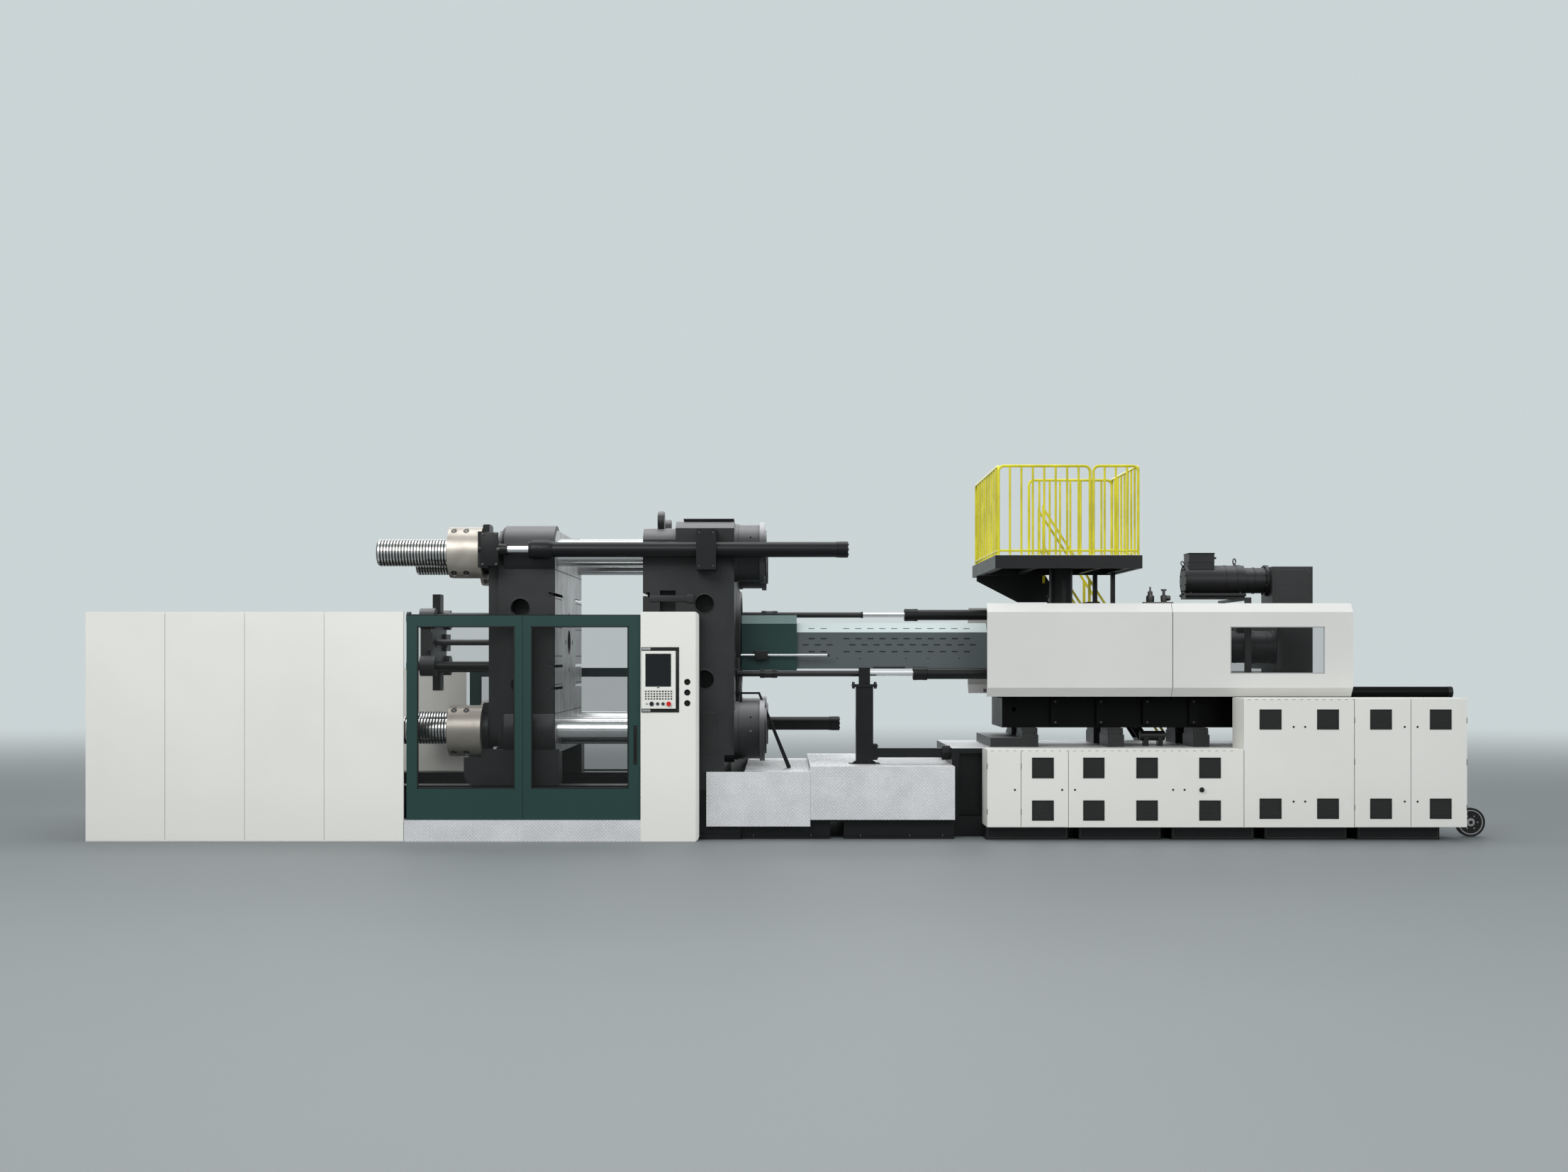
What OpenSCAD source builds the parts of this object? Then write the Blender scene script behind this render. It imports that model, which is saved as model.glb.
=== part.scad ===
// Two-platen injection moulding machine, clamp unit on the left and injection unit on the right

/* [Clamp unit] */
// Height of the injection axis above the floor
axis_h = 2400; // [2380:1:2420]
// Mould face of the fixed platen, along the machine
fixed_face_x = -1843; // [-1853:1:-1833]
// Space between the mould faces at the smallest mould height
mould_space = 1066; // [1000:1:1100]
// Opening travel of the moving platen
platen_travel = 2590; // [2300:1:2600]
// Half width of both platens
platen_half_w = 1450; // [1440:1:1460]
// Thickness of the moving platen
moving_thk = 816; // [800:1:830]
// Thickness of the fixed platen
fixed_thk = 1109; // [1090:1:1130]
// Diameter of a tie bar
bar_d = 330; // [300:1:340]
// Distance of the tie bars from the axis, across the machine
bar_y = 1190; // [1180:1:1195]
// Distance of the tie bars from the axis, up and down
bar_z = 1090; // [1080:1:1100]
// Length of a tie bar on the mould side of the fixed platen
bar_reach = 3267; // [3230:1:3290]
// Pitch of the locking grooves
groove_pitch = 37; // [35:1:40]
// Depth of a locking groove
groove_depth = 13; // [8:1:15]
// Outer diameter of a locking nut
nut_d = 618; // [600:1:624]
// Length of a locking nut
nut_len = 406; // [390:1:410]
// Opening stroke of each nut half
nut_stroke = 66; // [62:1:70]
// Ejector travel
ejector_travel = 380; // [300:1:400]
// Diameter of the centring bore in the fixed platen
centring_d = 315; // [250:1:320]

/* [Bed] */
// Depth of the slide ways below the axis
bed_drop = 1750; // [1744:1:1760]
// Left end of the clamp bed
bed_left_x = -8300; // [-8350:1:-8200]

/* [Guards] */
// Left end of the machine
left_x = -8505; // [-8520:1:-8490]
// Width of one cover panel
cover_w = 950; // [940:1:953]
// Gap between cover panels
cover_gap = 4; // [3:1:6]
// Top of the front covers
guard_top = 2755; // [2700:1:2800]
// Front face of the covers
front_y = -1730; // [-1735:1:-1725]
// Thickness of a folded cover panel
cover_thk = 32; // [25:1:35]
// Thickness of the sliding door
door_thk = 50; // [40:1:55]
// Travel of the operator door
door_travel = 2700; // [2500:1:2750]
// Top of the guards on the back
back_top = 2062; // [2000:1:2100]

/* [Injection unit] */
// Forward travel of the injection unit
carriage_travel = 400; // [300:1:420]
// Screw diameter
screw_d = 150; // [130:1:160]
// Injection stroke of the screw
screw_stroke = 620; // [500:1:640]
// Length of the side covers
fairing_len = 4495; // [4470:1:4500]
// Left end of the side covers
fairing_x = 2371; // [2365:1:2380]
// Depth of the base deck below the axis
deck_drop = 1315; // [1310:1:1320]
// Height of the base plinth
plinth_h = 164; // [150:1:170]
// Depth of the high cabinet's top below the axis
high_drop = 690; // [685:1:700]
// Front face of the cabinets
cabinet_y = -1660; // [-1670:1:-1650]
// Right end of the cabinets
cabinet_right = 8087; // [8070:1:8095]
// Gap above and below each cabinet door
door_gap = 4; // [3:1:6]

/* [Platform] */
// Top of the platform deck
platform_h = 3471; // [3450:1:3490]
// Height of the railing above the deck
railing_h = 1125; // [1100:1:1150]
// Diameter of the railing tubes
tube_d = 34; // [28:1:42]

/* [Hidden] */
$fn = 48;

// Clearances
seat = 0.3;
fit = 0.05;
over = 1;

// Heights that follow the axis
bed_h = axis_h - bed_drop;
deck_h = axis_h - deck_drop;
high_top = axis_h - high_drop;
tread_h = deck_h - 200;
low_tread_h = deck_h - 265;

// Clamp unit, worked out from the mould face
way_thk = 50;
moving_face_x = fixed_face_x - mould_space;
moving_back_x = moving_face_x - moving_thk;
boss_back_x = moving_face_x - 690;
fixed_back_x = fixed_face_x + fixed_thk;
fixed_step_x = fixed_face_x + 398;
boss_r = 275;
fixed_boss_r = 300;
shoulder_r = 388;
platen_low = bed_h - way_thk;
lug_z = axis_h + bar_z + fixed_boss_r + 85;
cylinder_r = 345;
cylinder_len = 309;
piston_r = 240;
cap_r = 372;
cap_thk = 60;
cap_x = fixed_back_x + cylinder_len;
nut_x = moving_back_x - 486;
bar_left_x = fixed_face_x - bar_reach;
groove_end_x = moving_back_x + 130;
groove_count = floor((groove_end_x - bar_left_x - 40) / groove_pitch);
traverse_y = platen_half_w + 206;
traverse_z = 1105;
traverse_r = 92;
traverse_rod_r = 45;
traverse_right_x = 641;
traverse_gland_x = moving_back_x + 531;
traverse_bore_r = 76;
bracket_x = moving_back_x - 79;
bracket_w = 225;
column_x0 = fixed_face_x - 6;
column_x1 = -1154;
door_x0 = -4665;
door_x1 = column_x0 - 6;
covers_right_x = left_x + 4 * cover_w + 3 * cover_gap;
half_depth = platen_half_w + 340;

// Ways of the clamp bed
way_in = 1050;
way_out = 1440;
bed_right_x = column_x1 + 500;

// Injection unit
split_x = fairing_x + fairing_len * 0.5067;
fairing_right = fairing_x + fairing_len;
fairing_y = 1190;
fairing_low = axis_h - 676;
fairing_top = axis_h + 475;
fairing_thk = 30;
beam_x0 = 2627;
beam_x1 = fairing_right + 34;
beam_low = deck_h + 237;
beam_top = beam_low + 378;
beam_y = 560;
barrel_r = 165;
barrel_x0 = 150;
barrel_x1 = 3900;
nozzle_x = -560;
base_x0 = 1944;
low_x0 = 2317;
high_x0 = 5405;
base_half = 1100;
sheet = 12;

module block(x, y, z) {
  translate([x[0], y[0], z[0]]) cube([x[1] - x[0], y[1] - y[0], z[1] - z[0]]);
}

module rod_x(r, x0, x1) {
  translate([x0, 0, 0]) rotate([0, 90, 0]) cylinder(r = r, h = x1 - x0);
}

module rod_y(r, y0, y1) {
  translate([0, y1, 0]) rotate([90, 0, 0]) cylinder(r = r, h = y1 - y0);
}

module at_bars() {
  for (sy = [-1, 1], sz = [-1, 1]) translate([0, sy * bar_y, axis_h + sz * bar_z]) children();
}

module at_traverse() {
  for (s = [-1, 1]) translate([0, s * traverse_y, axis_h - s * traverse_z]) children();
}

module both_sides() {
  children();
  mirror([0, 1, 0]) children();
}

// Profile across the machine, pushed along X
module across(x0, x1) {
  translate([x0, 0, 0]) rotate([90, 0, 90]) linear_extrude(height = x1 - x0) children();
}

// Profile along the machine, pushed along Y
module along(y0, y1) {
  translate([0, y1, 0]) rotate([90, 0, 0]) linear_extrude(height = y1 - y0) children();
}

// Outline of a platen: four round bosses joined by flat sides
module platen_outline(r) {
  translate([0, axis_h]) {
    square([2 * bar_y, 2 * (bar_z + r)], center = true);
    square([2 * min(bar_y + r, platen_half_w), 2 * bar_z], center = true);
    intersection() {
      for (sy = [-1, 1], sz = [-1, 1]) translate([sy * bar_y, sz * bar_z]) circle(r = r);
      square([2 * platen_half_w, 4 * axis_h], center = true);
    }
  }
}

// T-slot along Y, cut into a mould face that looks along +X
t_neck = 36;
t_head = 60;
t_neck_depth = 45;
t_depth = 85;
module t_slot(x, len) {
  block([x - t_neck_depth, x + over], [-platen_half_w - over, -platen_half_w + len],
    [-t_neck / 2, t_neck / 2]);
  block([x - t_depth, x - t_neck_depth + 0.1], [-platen_half_w - over, -platen_half_w + len],
    [-t_head / 2, t_head / 2]);
}

slot_heights = [-570, -300, 300, 570];
slot_len = 760;
module mould_slots(x) {
  both_sides() for (h = slot_heights) translate([0, 0, axis_h + h]) t_slot(x, slot_len);
}

ejector_pins = [[-350, 0], [350, 0], [0, -350], [0, 350]];
pin_r = 35;

module clamp_base() {
  color([0.13, 0.13, 0.13]) {
    both_sides() {
      block([bed_left_x, bed_right_x], [way_in, way_out], [60, bed_h - way_thk]);
      block([bed_left_x, bed_right_x], [way_in - 60, way_out + 40], [0, 60]);
      block([bed_left_x + 60, fixed_face_x - 20], [way_in + 40, way_out - 20], [bed_h - way_thk, bed_h]);
    }
    for (x = [bed_left_x, -6300, fixed_face_x - 120]) block([x, x + 180], [-way_in, way_in], [60, 420]);
  }
}

module fixed_platen() {
  side_bore_z = 460;
  color([0.16, 0.16, 0.16]) difference() {
    union() {
      across(fixed_face_x, fixed_step_x) platen_outline(fixed_boss_r);
      across(fixed_step_x, fixed_back_x) intersection() {
        translate([0, axis_h]) square([2 * platen_half_w, 2 * (bar_z + shoulder_r)], center = true);
        union() {
          platen_outline(fixed_boss_r + 10);
          translate([0, axis_h]) for (sy = [-1, 1], sz = [-1, 1])
            translate([sy * bar_y, sz * bar_z]) circle(r = shoulder_r);
        }
      }
      block([fixed_face_x, fixed_back_x - 120], [-platen_half_w, platen_half_w], [platen_low, axis_h]);
      for (y = [-bar_y, 190]) translate([0, y, lug_z]) {
        rod_x(118, fixed_face_x + 168, fixed_face_x + 248);
        rod_x(128, fixed_face_x + 178, fixed_face_x + 238);
        block([fixed_face_x + 178, fixed_face_x + 238], [-60, 60], [-150, 0]);
      }
    }
    at_bars() rod_x(bar_d / 2 + fit, fixed_face_x - over, fixed_back_x + over);
    translate([0, 0, axis_h]) rod_x(centring_d / 2, fixed_face_x - over, fixed_face_x + 260);
    translate([fixed_face_x + 250, 0, axis_h]) rotate([0, 90, 0])
      cylinder(r1 = centring_d / 2, r2 = 520, h = fixed_thk - 250 + over);
    both_sides() for (s = [-1, 1]) translate([-1095, 0, axis_h + s * side_bore_z])
      rod_y(112, platen_half_w - 320, platen_half_w + over);
    both_sides() block([fixed_step_x - 190, fixed_step_x], [platen_half_w - 160, platen_half_w + over],
      [axis_h + 300, axis_h + 620]);
    mirror([1, 0, 0]) mould_slots(-fixed_face_x);
    for (y = [-560, 560], z = [-560, 560]) translate([0, y, axis_h + z])
      rod_x(18, fixed_face_x - over, fixed_face_x + 90);
  }
}

module clamp_cylinders() {
  color([0.2, 0.2, 0.2]) at_bars() difference() {
    union() {
      rod_x(cylinder_r, fixed_back_x, cap_x);
      rod_x(cylinder_r + 12, fixed_back_x, fixed_back_x + 50);
    }
    rod_x(piston_r + fit, fixed_back_x + 60, cap_x + over);
    rod_x(bar_d / 2 + fit, fixed_back_x - over, cap_x + over);
    for (a = [60:120:300]) rotate([a, 0, 0]) translate([fixed_back_x + 200, 0, piston_r + 40])
      cylinder(r = 11, h = 200);
  }
}

module cylinder_caps() {
  color([0.24, 0.24, 0.24]) at_bars() difference() {
    union() {
      rod_x(cap_r, cap_x, cap_x + cap_thk);
      rod_x(cap_r - 90, cap_x + cap_thk - 1, cap_x + cap_thk + 22);
    }
    for (a = [0:30:330]) rotate([a, 0, 0]) translate([0, 0, cap_r - 40])
      rod_x(17, cap_x + cap_thk - 30, cap_x + cap_thk + over);
  }
}

// Grooved, polished bar with the piston of its clamp cylinder
module tie_bar() {
  chamfer = 20;
  r = bar_d / 2;
  piston_x = cap_x - 120;
  grooves = [for (i = [0:groove_count - 1]) let (x = bar_left_x + 40 + i * groove_pitch)
    for (p = [[0, 0], [groove_pitch * 0.14, groove_depth], [groove_pitch * 0.46, groove_depth],
      [groove_pitch * 0.6, 0]]) [r - p[1], x + p[0]]];
  profile = concat([[0, bar_left_x], [r - chamfer, bar_left_x], [r, bar_left_x + chamfer]], grooves,
    [[r, piston_x - 60], [piston_r, piston_x - 60], [piston_r, piston_x + 60], [0, piston_x + 60]]);
  rotate([0, 90, 0]) rotate_extrude() polygon(profile);
}

module tie_bars() {
  color([0.86, 0.87, 0.88]) at_bars() tie_bar();
}

module traverse_cylinders() {
  color([0.17, 0.17, 0.17]) at_traverse() difference() {
    union() {
      rod_x(traverse_r, traverse_gland_x + 200, traverse_right_x);
      rod_x(traverse_r + 6, traverse_right_x - 115, traverse_right_x);
      rod_x(traverse_r + 12, traverse_gland_x, traverse_gland_x + 265);
    }
    rod_x(traverse_bore_r, traverse_gland_x + 120, traverse_right_x - 60);
    rod_x(traverse_rod_r + fit, traverse_gland_x - over, traverse_gland_x + 130);
  }
}

module cylinder_brackets() {
  x0 = fixed_face_x + 663;
  wide = 238;
  tall = 490;
  color([0.1, 0.1, 0.1]) at_traverse_sides() {
    difference() {
      block([x0, x0 + wide], [-half_depth, -platen_half_w], [-tall / 2, tall / 2]);
      translate([0, -traverse_y, 0]) rod_x(traverse_r, x0 - over, x0 + wide + over);
      for (x = [x0 + 35, x0 + wide - 35], z = [-200, 200]) translate([x, 0, z])
        rotate([90, 0, 0]) translate([0, 0, half_depth - 15]) cylinder(r = 18, h = 15 + over);
    }
  }
}

// Front pair stands above the axis, back pair below it
module at_traverse_sides() {
  translate([0, 0, axis_h + traverse_z]) children();
  translate([0, 0, axis_h - traverse_z]) mirror([0, 1, 0]) children();
}

module cover_panel(x0, y0, top) {
  block([x0, x0 + cover_w], [y0, y0 + cover_thk], [8, top]);
}

module front_covers() {
  color([0.86, 0.86, 0.83]) {
    for (i = [0:3]) cover_panel(left_x + i * (cover_w + cover_gap), front_y, guard_top);
    block([left_x, covers_right_x], [front_y + 4, front_y + cover_thk - 4], [0, 20]);
    block([left_x + 10, covers_right_x - 10], [front_y + 6, front_y + cover_thk - 6], [60, guard_top - 30]);
  }
}

back_in_y = half_depth - 52;
back_out_y = half_depth - 30;
back_door_x = [-4500, -1800];
sill_top = 250;
module back_covers() {
  cover_right = -4545;
  color([0.86, 0.86, 0.83]) {
    block([left_x + cover_thk, cover_right], [back_in_y, back_out_y], [0, back_top]);
    block([left_x, left_x + cover_thk], [front_y + cover_thk, back_out_y], [0, guard_top]);
    block([-1750, column_x1 - 36], [back_out_y + 4, half_depth], [0, back_top]);
    block([cover_right, column_x1], [back_in_y, back_out_y + 5], [0, sill_top - 50]);
    block([back_door_x[0] - 2650, column_x1], [back_out_y - 1, half_depth], [sill_top - 51, sill_top]);
  }
}

skirt_top = 255;
module door_skirt() {
  x0 = covers_right_x + 6;
  x1 = column_x0 - seat;
  track_y = front_y + cover_thk + seat;
  color([0.8, 0.81, 0.82]) {
    block([x0, x1], [front_y, front_y + 10], [0, skirt_top]);
    block([x0, x1], [front_y + 9, -1500], [skirt_top - 12, skirt_top]);
    block([door_x0 - door_travel - 40, x0 + 1], [track_y, -1500], [skirt_top - 12, skirt_top]);
    block([door_x0 - door_travel - 40, x0 + 1], [-1530, -1500], [0, skirt_top - 11]);
  }
}

panel_x0 = column_x0 + 8;
panel_x1 = panel_x0 + 455;
panel_z0 = 1548;
panel_z1 = 2332;
panel_front = front_y - 34;
module control_column() {
  chamfer = 34;
  corner_r = 50;
  column_back = front_y + 250;
  color([0.86, 0.86, 0.83]) difference() {
    intersection() {
      linear_extrude(height = guard_top) polygon([[column_x0, front_y],
        [column_x1 - chamfer, front_y], [column_x1, front_y + chamfer], [column_x1, column_back],
        [column_x0, column_back]]);
      along(front_y - over, column_back + over) {
        translate([column_x0, 0]) square([column_x1 - column_x0 - corner_r, guard_top]);
        translate([column_x1 - corner_r - over, corner_r])
          square([corner_r + over, guard_top - 2 * corner_r]);
        for (z = [corner_r, guard_top - corner_r]) translate([column_x1 - corner_r, z]) circle(r = corner_r);
      }
    }
    block([panel_x0, panel_x1], [front_y - over, front_y + 60], [panel_z0, panel_z1]);
    for (z = [1658, 1786, 1913]) translate([-1289, 0, z]) rod_y(32, front_y - over, front_y + 26);
  }
}

// Swinging operator panel with its frame, screen and keys
screen_w = 300;
module control_panel() {
  face_x0 = panel_x0 + 6;
  face_x1 = face_x0 + 408;
  color([0.1, 0.1, 0.1]) {
    block([panel_x0, panel_x1], [front_y - 2, front_y + 60], [panel_z0, panel_z0 + 48]);
    block([panel_x0, panel_x1], [front_y - 2, front_y + 60], [panel_z1 - 48, panel_z1]);
    block([panel_x1 - 38, panel_x1], [front_y - 2, front_y + 60], [panel_z0 + 47, panel_z1 - 47]);
  }
  color([0.86, 0.86, 0.83]) difference() {
    block([face_x0, face_x1], [panel_front, front_y + 60], [panel_z0 + 47, panel_z1 - 47]);
    block([face_x0 + 50, face_x0 + 50 + screen_w], [panel_front - over, panel_front + 8], [1861, 2248]);
    for (k = control_places) translate([k[0], 0, panel_row_z])
      rod_y(k[1] + 0.5, panel_front - over, panel_front + 40);
  }
  color([0.1, 0.1, 0.1]) for (i = [0:9], j = [0:3])
    block([key_x(i), key_x(i) + 20], [panel_front - 3, panel_front + 1], [key_z(j), key_z(j) + 16]);
}

function key_x(i) = panel_x0 + 47 + i * 34;
function key_z(j) = 1704 + j * 30;
panel_row_z = 1652;
control_places = [[-1714, 22], [-1642, 14], [-1578, 14], [-1508, 18]];

module push_button(k, len) {
  translate([k[0], 0, panel_row_z]) rod_y(k[1], panel_front - len, panel_front + 30);
}

module mode_knob() {
  color([0.06, 0.06, 0.06]) {
    push_button(control_places[0], 14);
    translate([control_places[0][0], 0, panel_row_z])
      block([-5, 5], [panel_front - 22, panel_front - 13], [-20, 20]);
  }
}

module start_button() {
  color([0.1, 0.1, 0.1]) push_button(control_places[1], 12);
}

module stop_button() {
  color([0.1, 0.1, 0.1]) push_button(control_places[2], 12);
}

module emergency_stop() {
  color([0.85, 0.05, 0.05]) {
    push_button(control_places[3], 14);
    translate([control_places[3][0], 0, panel_row_z]) rod_y(28, panel_front - 26, panel_front - 13);
  }
}

mid_y = 1420;
mid_top = 240 - seat;
mid_x0 = bed_right_x + 4;
module mid_base() {
  gap_x = [430, 600];
  color([0.1, 0.1, 0.1]) {
    both_sides() {
      for (x = [[mid_x0, gap_x[0]], [gap_x[1], base_x0]]) {
        block(x, [mid_y - 140, mid_y], [0, 30]);
        block(x, [mid_y - 90, mid_y - 50], [29, 210]);
      }
      block([mid_x0, base_x0], [mid_y - 140, mid_y], [209, mid_top]);
    }
    for (x = [-200, 700, 1700]) block([x, x + 160], [-mid_y + 140, mid_y - 140], [209, mid_top]);
    block([690, 1060], [-980, -620], [238, post_foot_h]);
  }
}

module tread_box(x0, x1, y, z0, z1) {
  difference() {
    block([x0, x1], [-y, y], [z0, z1]);
    block([x0 + sheet, x1 - sheet], [-y + sheet, y - sheet], [z0 - over, z1 - sheet]);
  }
}

tread_split_x = 189;
module tread_boxes() {
  color([0.8, 0.81, 0.82]) {
    difference() {
      tread_box(-1070, tread_split_x, 1500, 240, low_tread_h);
      block([-1071, -612], [-1470, 1470], [100, tread_h + 15]);
    }
    block([-1070, tread_split_x], [-1512, -1499], [160, low_tread_h]);
    difference() {
      tread_box(tread_split_x, base_x0 - 1, 1500, 240, tread_h);
      block([680, 1070], [-990, -610], [tread_h - 85, tread_h + 15]);
    }
  }
}

post_x = 876;
post_y = -800;
post_foot_h = tread_h - 17;
module carriage_post() {
  color([0.09, 0.09, 0.09]) {
    translate([post_x, post_y, post_foot_h]) cylinder(r = 150, h = 30);
    block([post_x - 106, post_x + 106], [post_y - 106, post_y + 106], [post_foot_h + 29, rod_low_z - 166]);
    block([post_x - 155, post_x + 155], [post_y - 130, post_y + 130], [rod_low_z - 167, rod_low_z - 134]);
    difference() {
      block([post_x - 70, post_x + 70], [post_y - 60, post_y + 60], [rod_low_z - 135, rod_low_z + 74]);
      translate([0, post_y, rod_low_z]) rod_x(ext_r + seat, post_x - 80, post_x + 80);
    }
    block([post_x + 105, post_x + 160], [post_y - 90, post_y + 90], [deck_h - 155, deck_h + 45]);
    block([post_x + 159, base_x0 - 100], [post_y - 60, post_y + 60], [deck_h - 125, deck_h - 10]);
    translate([0, post_y, deck_h - 68]) rod_x(90, base_x0 - 101, base_x0);
  }
}

module platen_brace() {
  bar = 24;
  high = axis_h - 652;
  color([0.06, 0.06, 0.06]) for (y = [-760, -690]) translate([0, y, 0]) {
    block([fixed_back_x, -440], [0, bar], [high, high + bar]);
    along(0, bar) polygon([[-460, high + bar], [-432, high + bar], [-40, low_tread_h + 12],
      [-68, low_tread_h], [-90, low_tread_h]]);
  }
}

rail_y = -590;
rail_z = axis_h - 164;
module guard_rails() {
  color([0.9, 0.9, 0.9]) both_sides() {
    translate([0, rail_y, rail_z]) rod_x(14, fixed_back_x, 420);
  }
}

rod_high_z = axis_h + 375;
rod_low_z = axis_h - 394;
ext_r = 37;
piston_rod_r = 30;
carriage_gland_x = 1485;
module at_carriage_rods() {
  translate([0, 800, rod_high_z]) children();
  translate([0, -800, rod_low_z]) children();
}

module carriage_rods() {
  color([0.3, 0.3, 0.3]) at_carriage_rods() {
    rod_x(ext_r, fixed_back_x, 930);
    rod_x(ext_r + 16, -430, -210);
    rod_x(piston_rod_r, 929, 2200);
    rod_x(54.9, 2100, 2200);
  }
}

module injection_base() {
  base_x1 = 7944;
  trough_pitch = (base_x1 - low_x0) / 5;
  color([0.1, 0.1, 0.1]) {
    difference() {
      block([base_x0, base_x1], [-base_half, base_half], [0, deck_h]);
      block([base_x0 + 90, base_x0 + 370], [-base_half - over, -base_half + 120], [250, deck_h - 60]);
    }
    for (i = [0:4]) translate([low_x0 + i * trough_pitch, 0, 0])
      block([0, trough_pitch - 130], [-base_half - 400, -base_half + over], [0, plinth_h]);
    block([7900, 8026], [-1250, -950], [plinth_h - 40, plinth_h]);
    block([8025, 8330], [-1075, -1045], [plinth_h - 40, plinth_h + 46]);
    translate([wheel_x, 0, wheel_r]) rod_y(20, -1160, -1044);
  }
}

wheel_r = 177;
wheel_x = 8505 - wheel_r;
module wheel() {
  color([0.25, 0.25, 0.25]) translate([wheel_x, 0, wheel_r]) difference() {
    union() {
      rod_y(wheel_r - 24, -1140, -1090);
      difference() {
        rod_y(wheel_r, -1145, -1085);
        rod_y(wheel_r - 24, -1146, -1084);
      }
    }
    rod_y(20 + fit, -1160, -1044);
  }
}

// Cabinet shells open to the front, with fixed panels where no door is
low_doors = [[low_x0, 2719], [2725, 3290]];
high_doors = [[6737, 7410], [7416, cabinet_right]];
shell = 20;
module low_cabinet() {
  y1 = -base_half;
  color([0.86, 0.86, 0.83]) {
    difference() {
      block([low_x0, high_x0], [cabinet_y, y1], [plinth_h, deck_h]);
      block([low_x0 + shell, low_doors[1][1] - shell], [cabinet_y - over, y1 - shell],
        [plinth_h + shell, deck_h - shell]);
    }
    block([low_x0, high_x0], [cabinet_y, y1], [deck_h - 1, deck_h + 9]);
  }
}

module high_cabinet() {
  y1 = -base_half;
  color([0.86, 0.86, 0.83]) {
    difference() {
      block([high_x0, cabinet_right], [cabinet_y, y1], [plinth_h, high_top]);
      block([high_doors[0][0] + shell, cabinet_right - shell], [cabinet_y - over, y1 - shell],
        [plinth_h + shell, high_top - shell]);
    }
  }
}

door_plate = 4;
return_depth = 18;
return_in = 30;
module cabinet_door(span, top) {
  y0 = cabinet_y - door_plate - 0.5;
  color([0.86, 0.86, 0.83]) {
    block([span[0], span[1]], [y0, y0 + door_plate], [plinth_h + door_gap, top - door_gap]);
    difference() {
      block([span[0] + return_in, span[1] - return_in], [y0 + door_plate - 1, y0 + return_depth],
        [plinth_h + return_in, top - return_in]);
      block([span[0] + return_in + 3, span[1] - return_in - 3], [y0, y0 + return_depth + over],
        [plinth_h + return_in + 3, top - return_in - 3]);
    }
  }
}

module cabinet_door_1() {
  cabinet_door(low_doors[0], deck_h);
}

module cabinet_door_2() {
  cabinet_door(low_doors[1], deck_h);
}

module cabinet_door_3() {
  cabinet_door(high_doors[0], high_top);
}

module cabinet_door_4() {
  cabinet_door(high_doors[1], high_top);
}

ped_x = [2846, 3918, 4985, 5900];
ped_w = 204;
module pedestals() {
  color([0.15, 0.15, 0.15]) {
    block([2451, ped_x[0] + ped_w], [-820, 820], [deck_h, deck_h + 117]);
    for (i = [0:3]) for (s = [-1, 1]) {
      x = ped_x[i];
      low = i == 0 ? deck_h + 116 : deck_h;
      block([x, x + ped_w], [s * 520 - 300, s * 520 + 300], [low, deck_h + 155]);
      block([x + 6, x + ped_w - 6], [s * 520 - 260, s * 520 + 260], [deck_h + 154, deck_h + 205]);
      block([x, x + ped_w], [s * 520 - 220, s * 520 + 220], [deck_h + 204, beam_low]);
    }
  }
}

module service_cylinders() {
  color([0.1, 0.1, 0.1]) {
    translate([0, -500, deck_h + 131]) rod_x(62, 4380, 4690);
    for (x = [4420, 4600]) block([x, x + 60], [-560, -440], [deck_h, deck_h + 131]);
  }
}

module moving_platen() {
  color([0.16, 0.16, 0.16]) difference() {
    union() {
      across(boss_back_x, moving_face_x) platen_outline(boss_r);
      across(moving_back_x, boss_back_x + 1) platen_outline(200);
    }
    at_bars() rod_x(bar_d / 2 + fit + 0.5, moving_back_x - over, moving_face_x + over);
    both_sides() for (z = [-524, 410]) translate([moving_back_x + 392, 0, axis_h + z])
      rod_y(112, platen_half_w - 300, platen_half_w + over);
    mould_slots(moving_face_x);
    for (p = ejector_pins) translate([0, p[0], axis_h + p[1]])
      rod_x(pin_r + fit, moving_back_x - over, moving_face_x + over);
    translate([0, 0, axis_h]) rod_x(centring_d / 2, moving_back_x - over, moving_face_x + over);
    for (y = [-560, 560], z = [-560, 560]) translate([0, y, axis_h + z])
      rod_x(18, moving_face_x - 90, moving_face_x + over);
    block([moving_back_x - over, moving_back_x + 260], [-900, 900], [axis_h - 1500, axis_h - 1240]);
  }
}

module nut_housings() {
  color([0.1, 0.1, 0.1]) at_bars() difference() {
    union() {
      rod_x(270, nut_x + nut_len + seat, moving_back_x);
      block([nut_x + nut_len + seat, moving_back_x], [-150, 150], [200, 330]);
    }
    rod_x(bar_d / 2 + 3, nut_x, moving_back_x + over);
  }
}

shoe_top = axis_h - 1310;
shoe_low = axis_h - bar_z - nut_d / 2 - 12;
module platen_shoes() {
  x0 = moving_back_x - 295;
  x1 = moving_face_x + 40;
  nose = 150;
  color([0.13, 0.13, 0.13]) both_sides() difference() {
    along(way_in + 20, way_out) {
      translate([x0 + nose, bed_h]) square([x1 - x0 - nose, shoe_low - bed_h]);
      translate([bracket_x, bed_h]) square([x1 - bracket_x, shoe_top - bed_h]);
      translate([x0, bed_h + nose]) square([nose + 1, shoe_low - bed_h - nose]);
      translate([x0 + nose, bed_h + nose]) circle(r = nose);
    }
    at_bars() rod_x(boss_r, bracket_x - over, moving_back_x + over);
    across(moving_back_x, x1 + over) platen_outline(boss_r + seat);
  }
}

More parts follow.
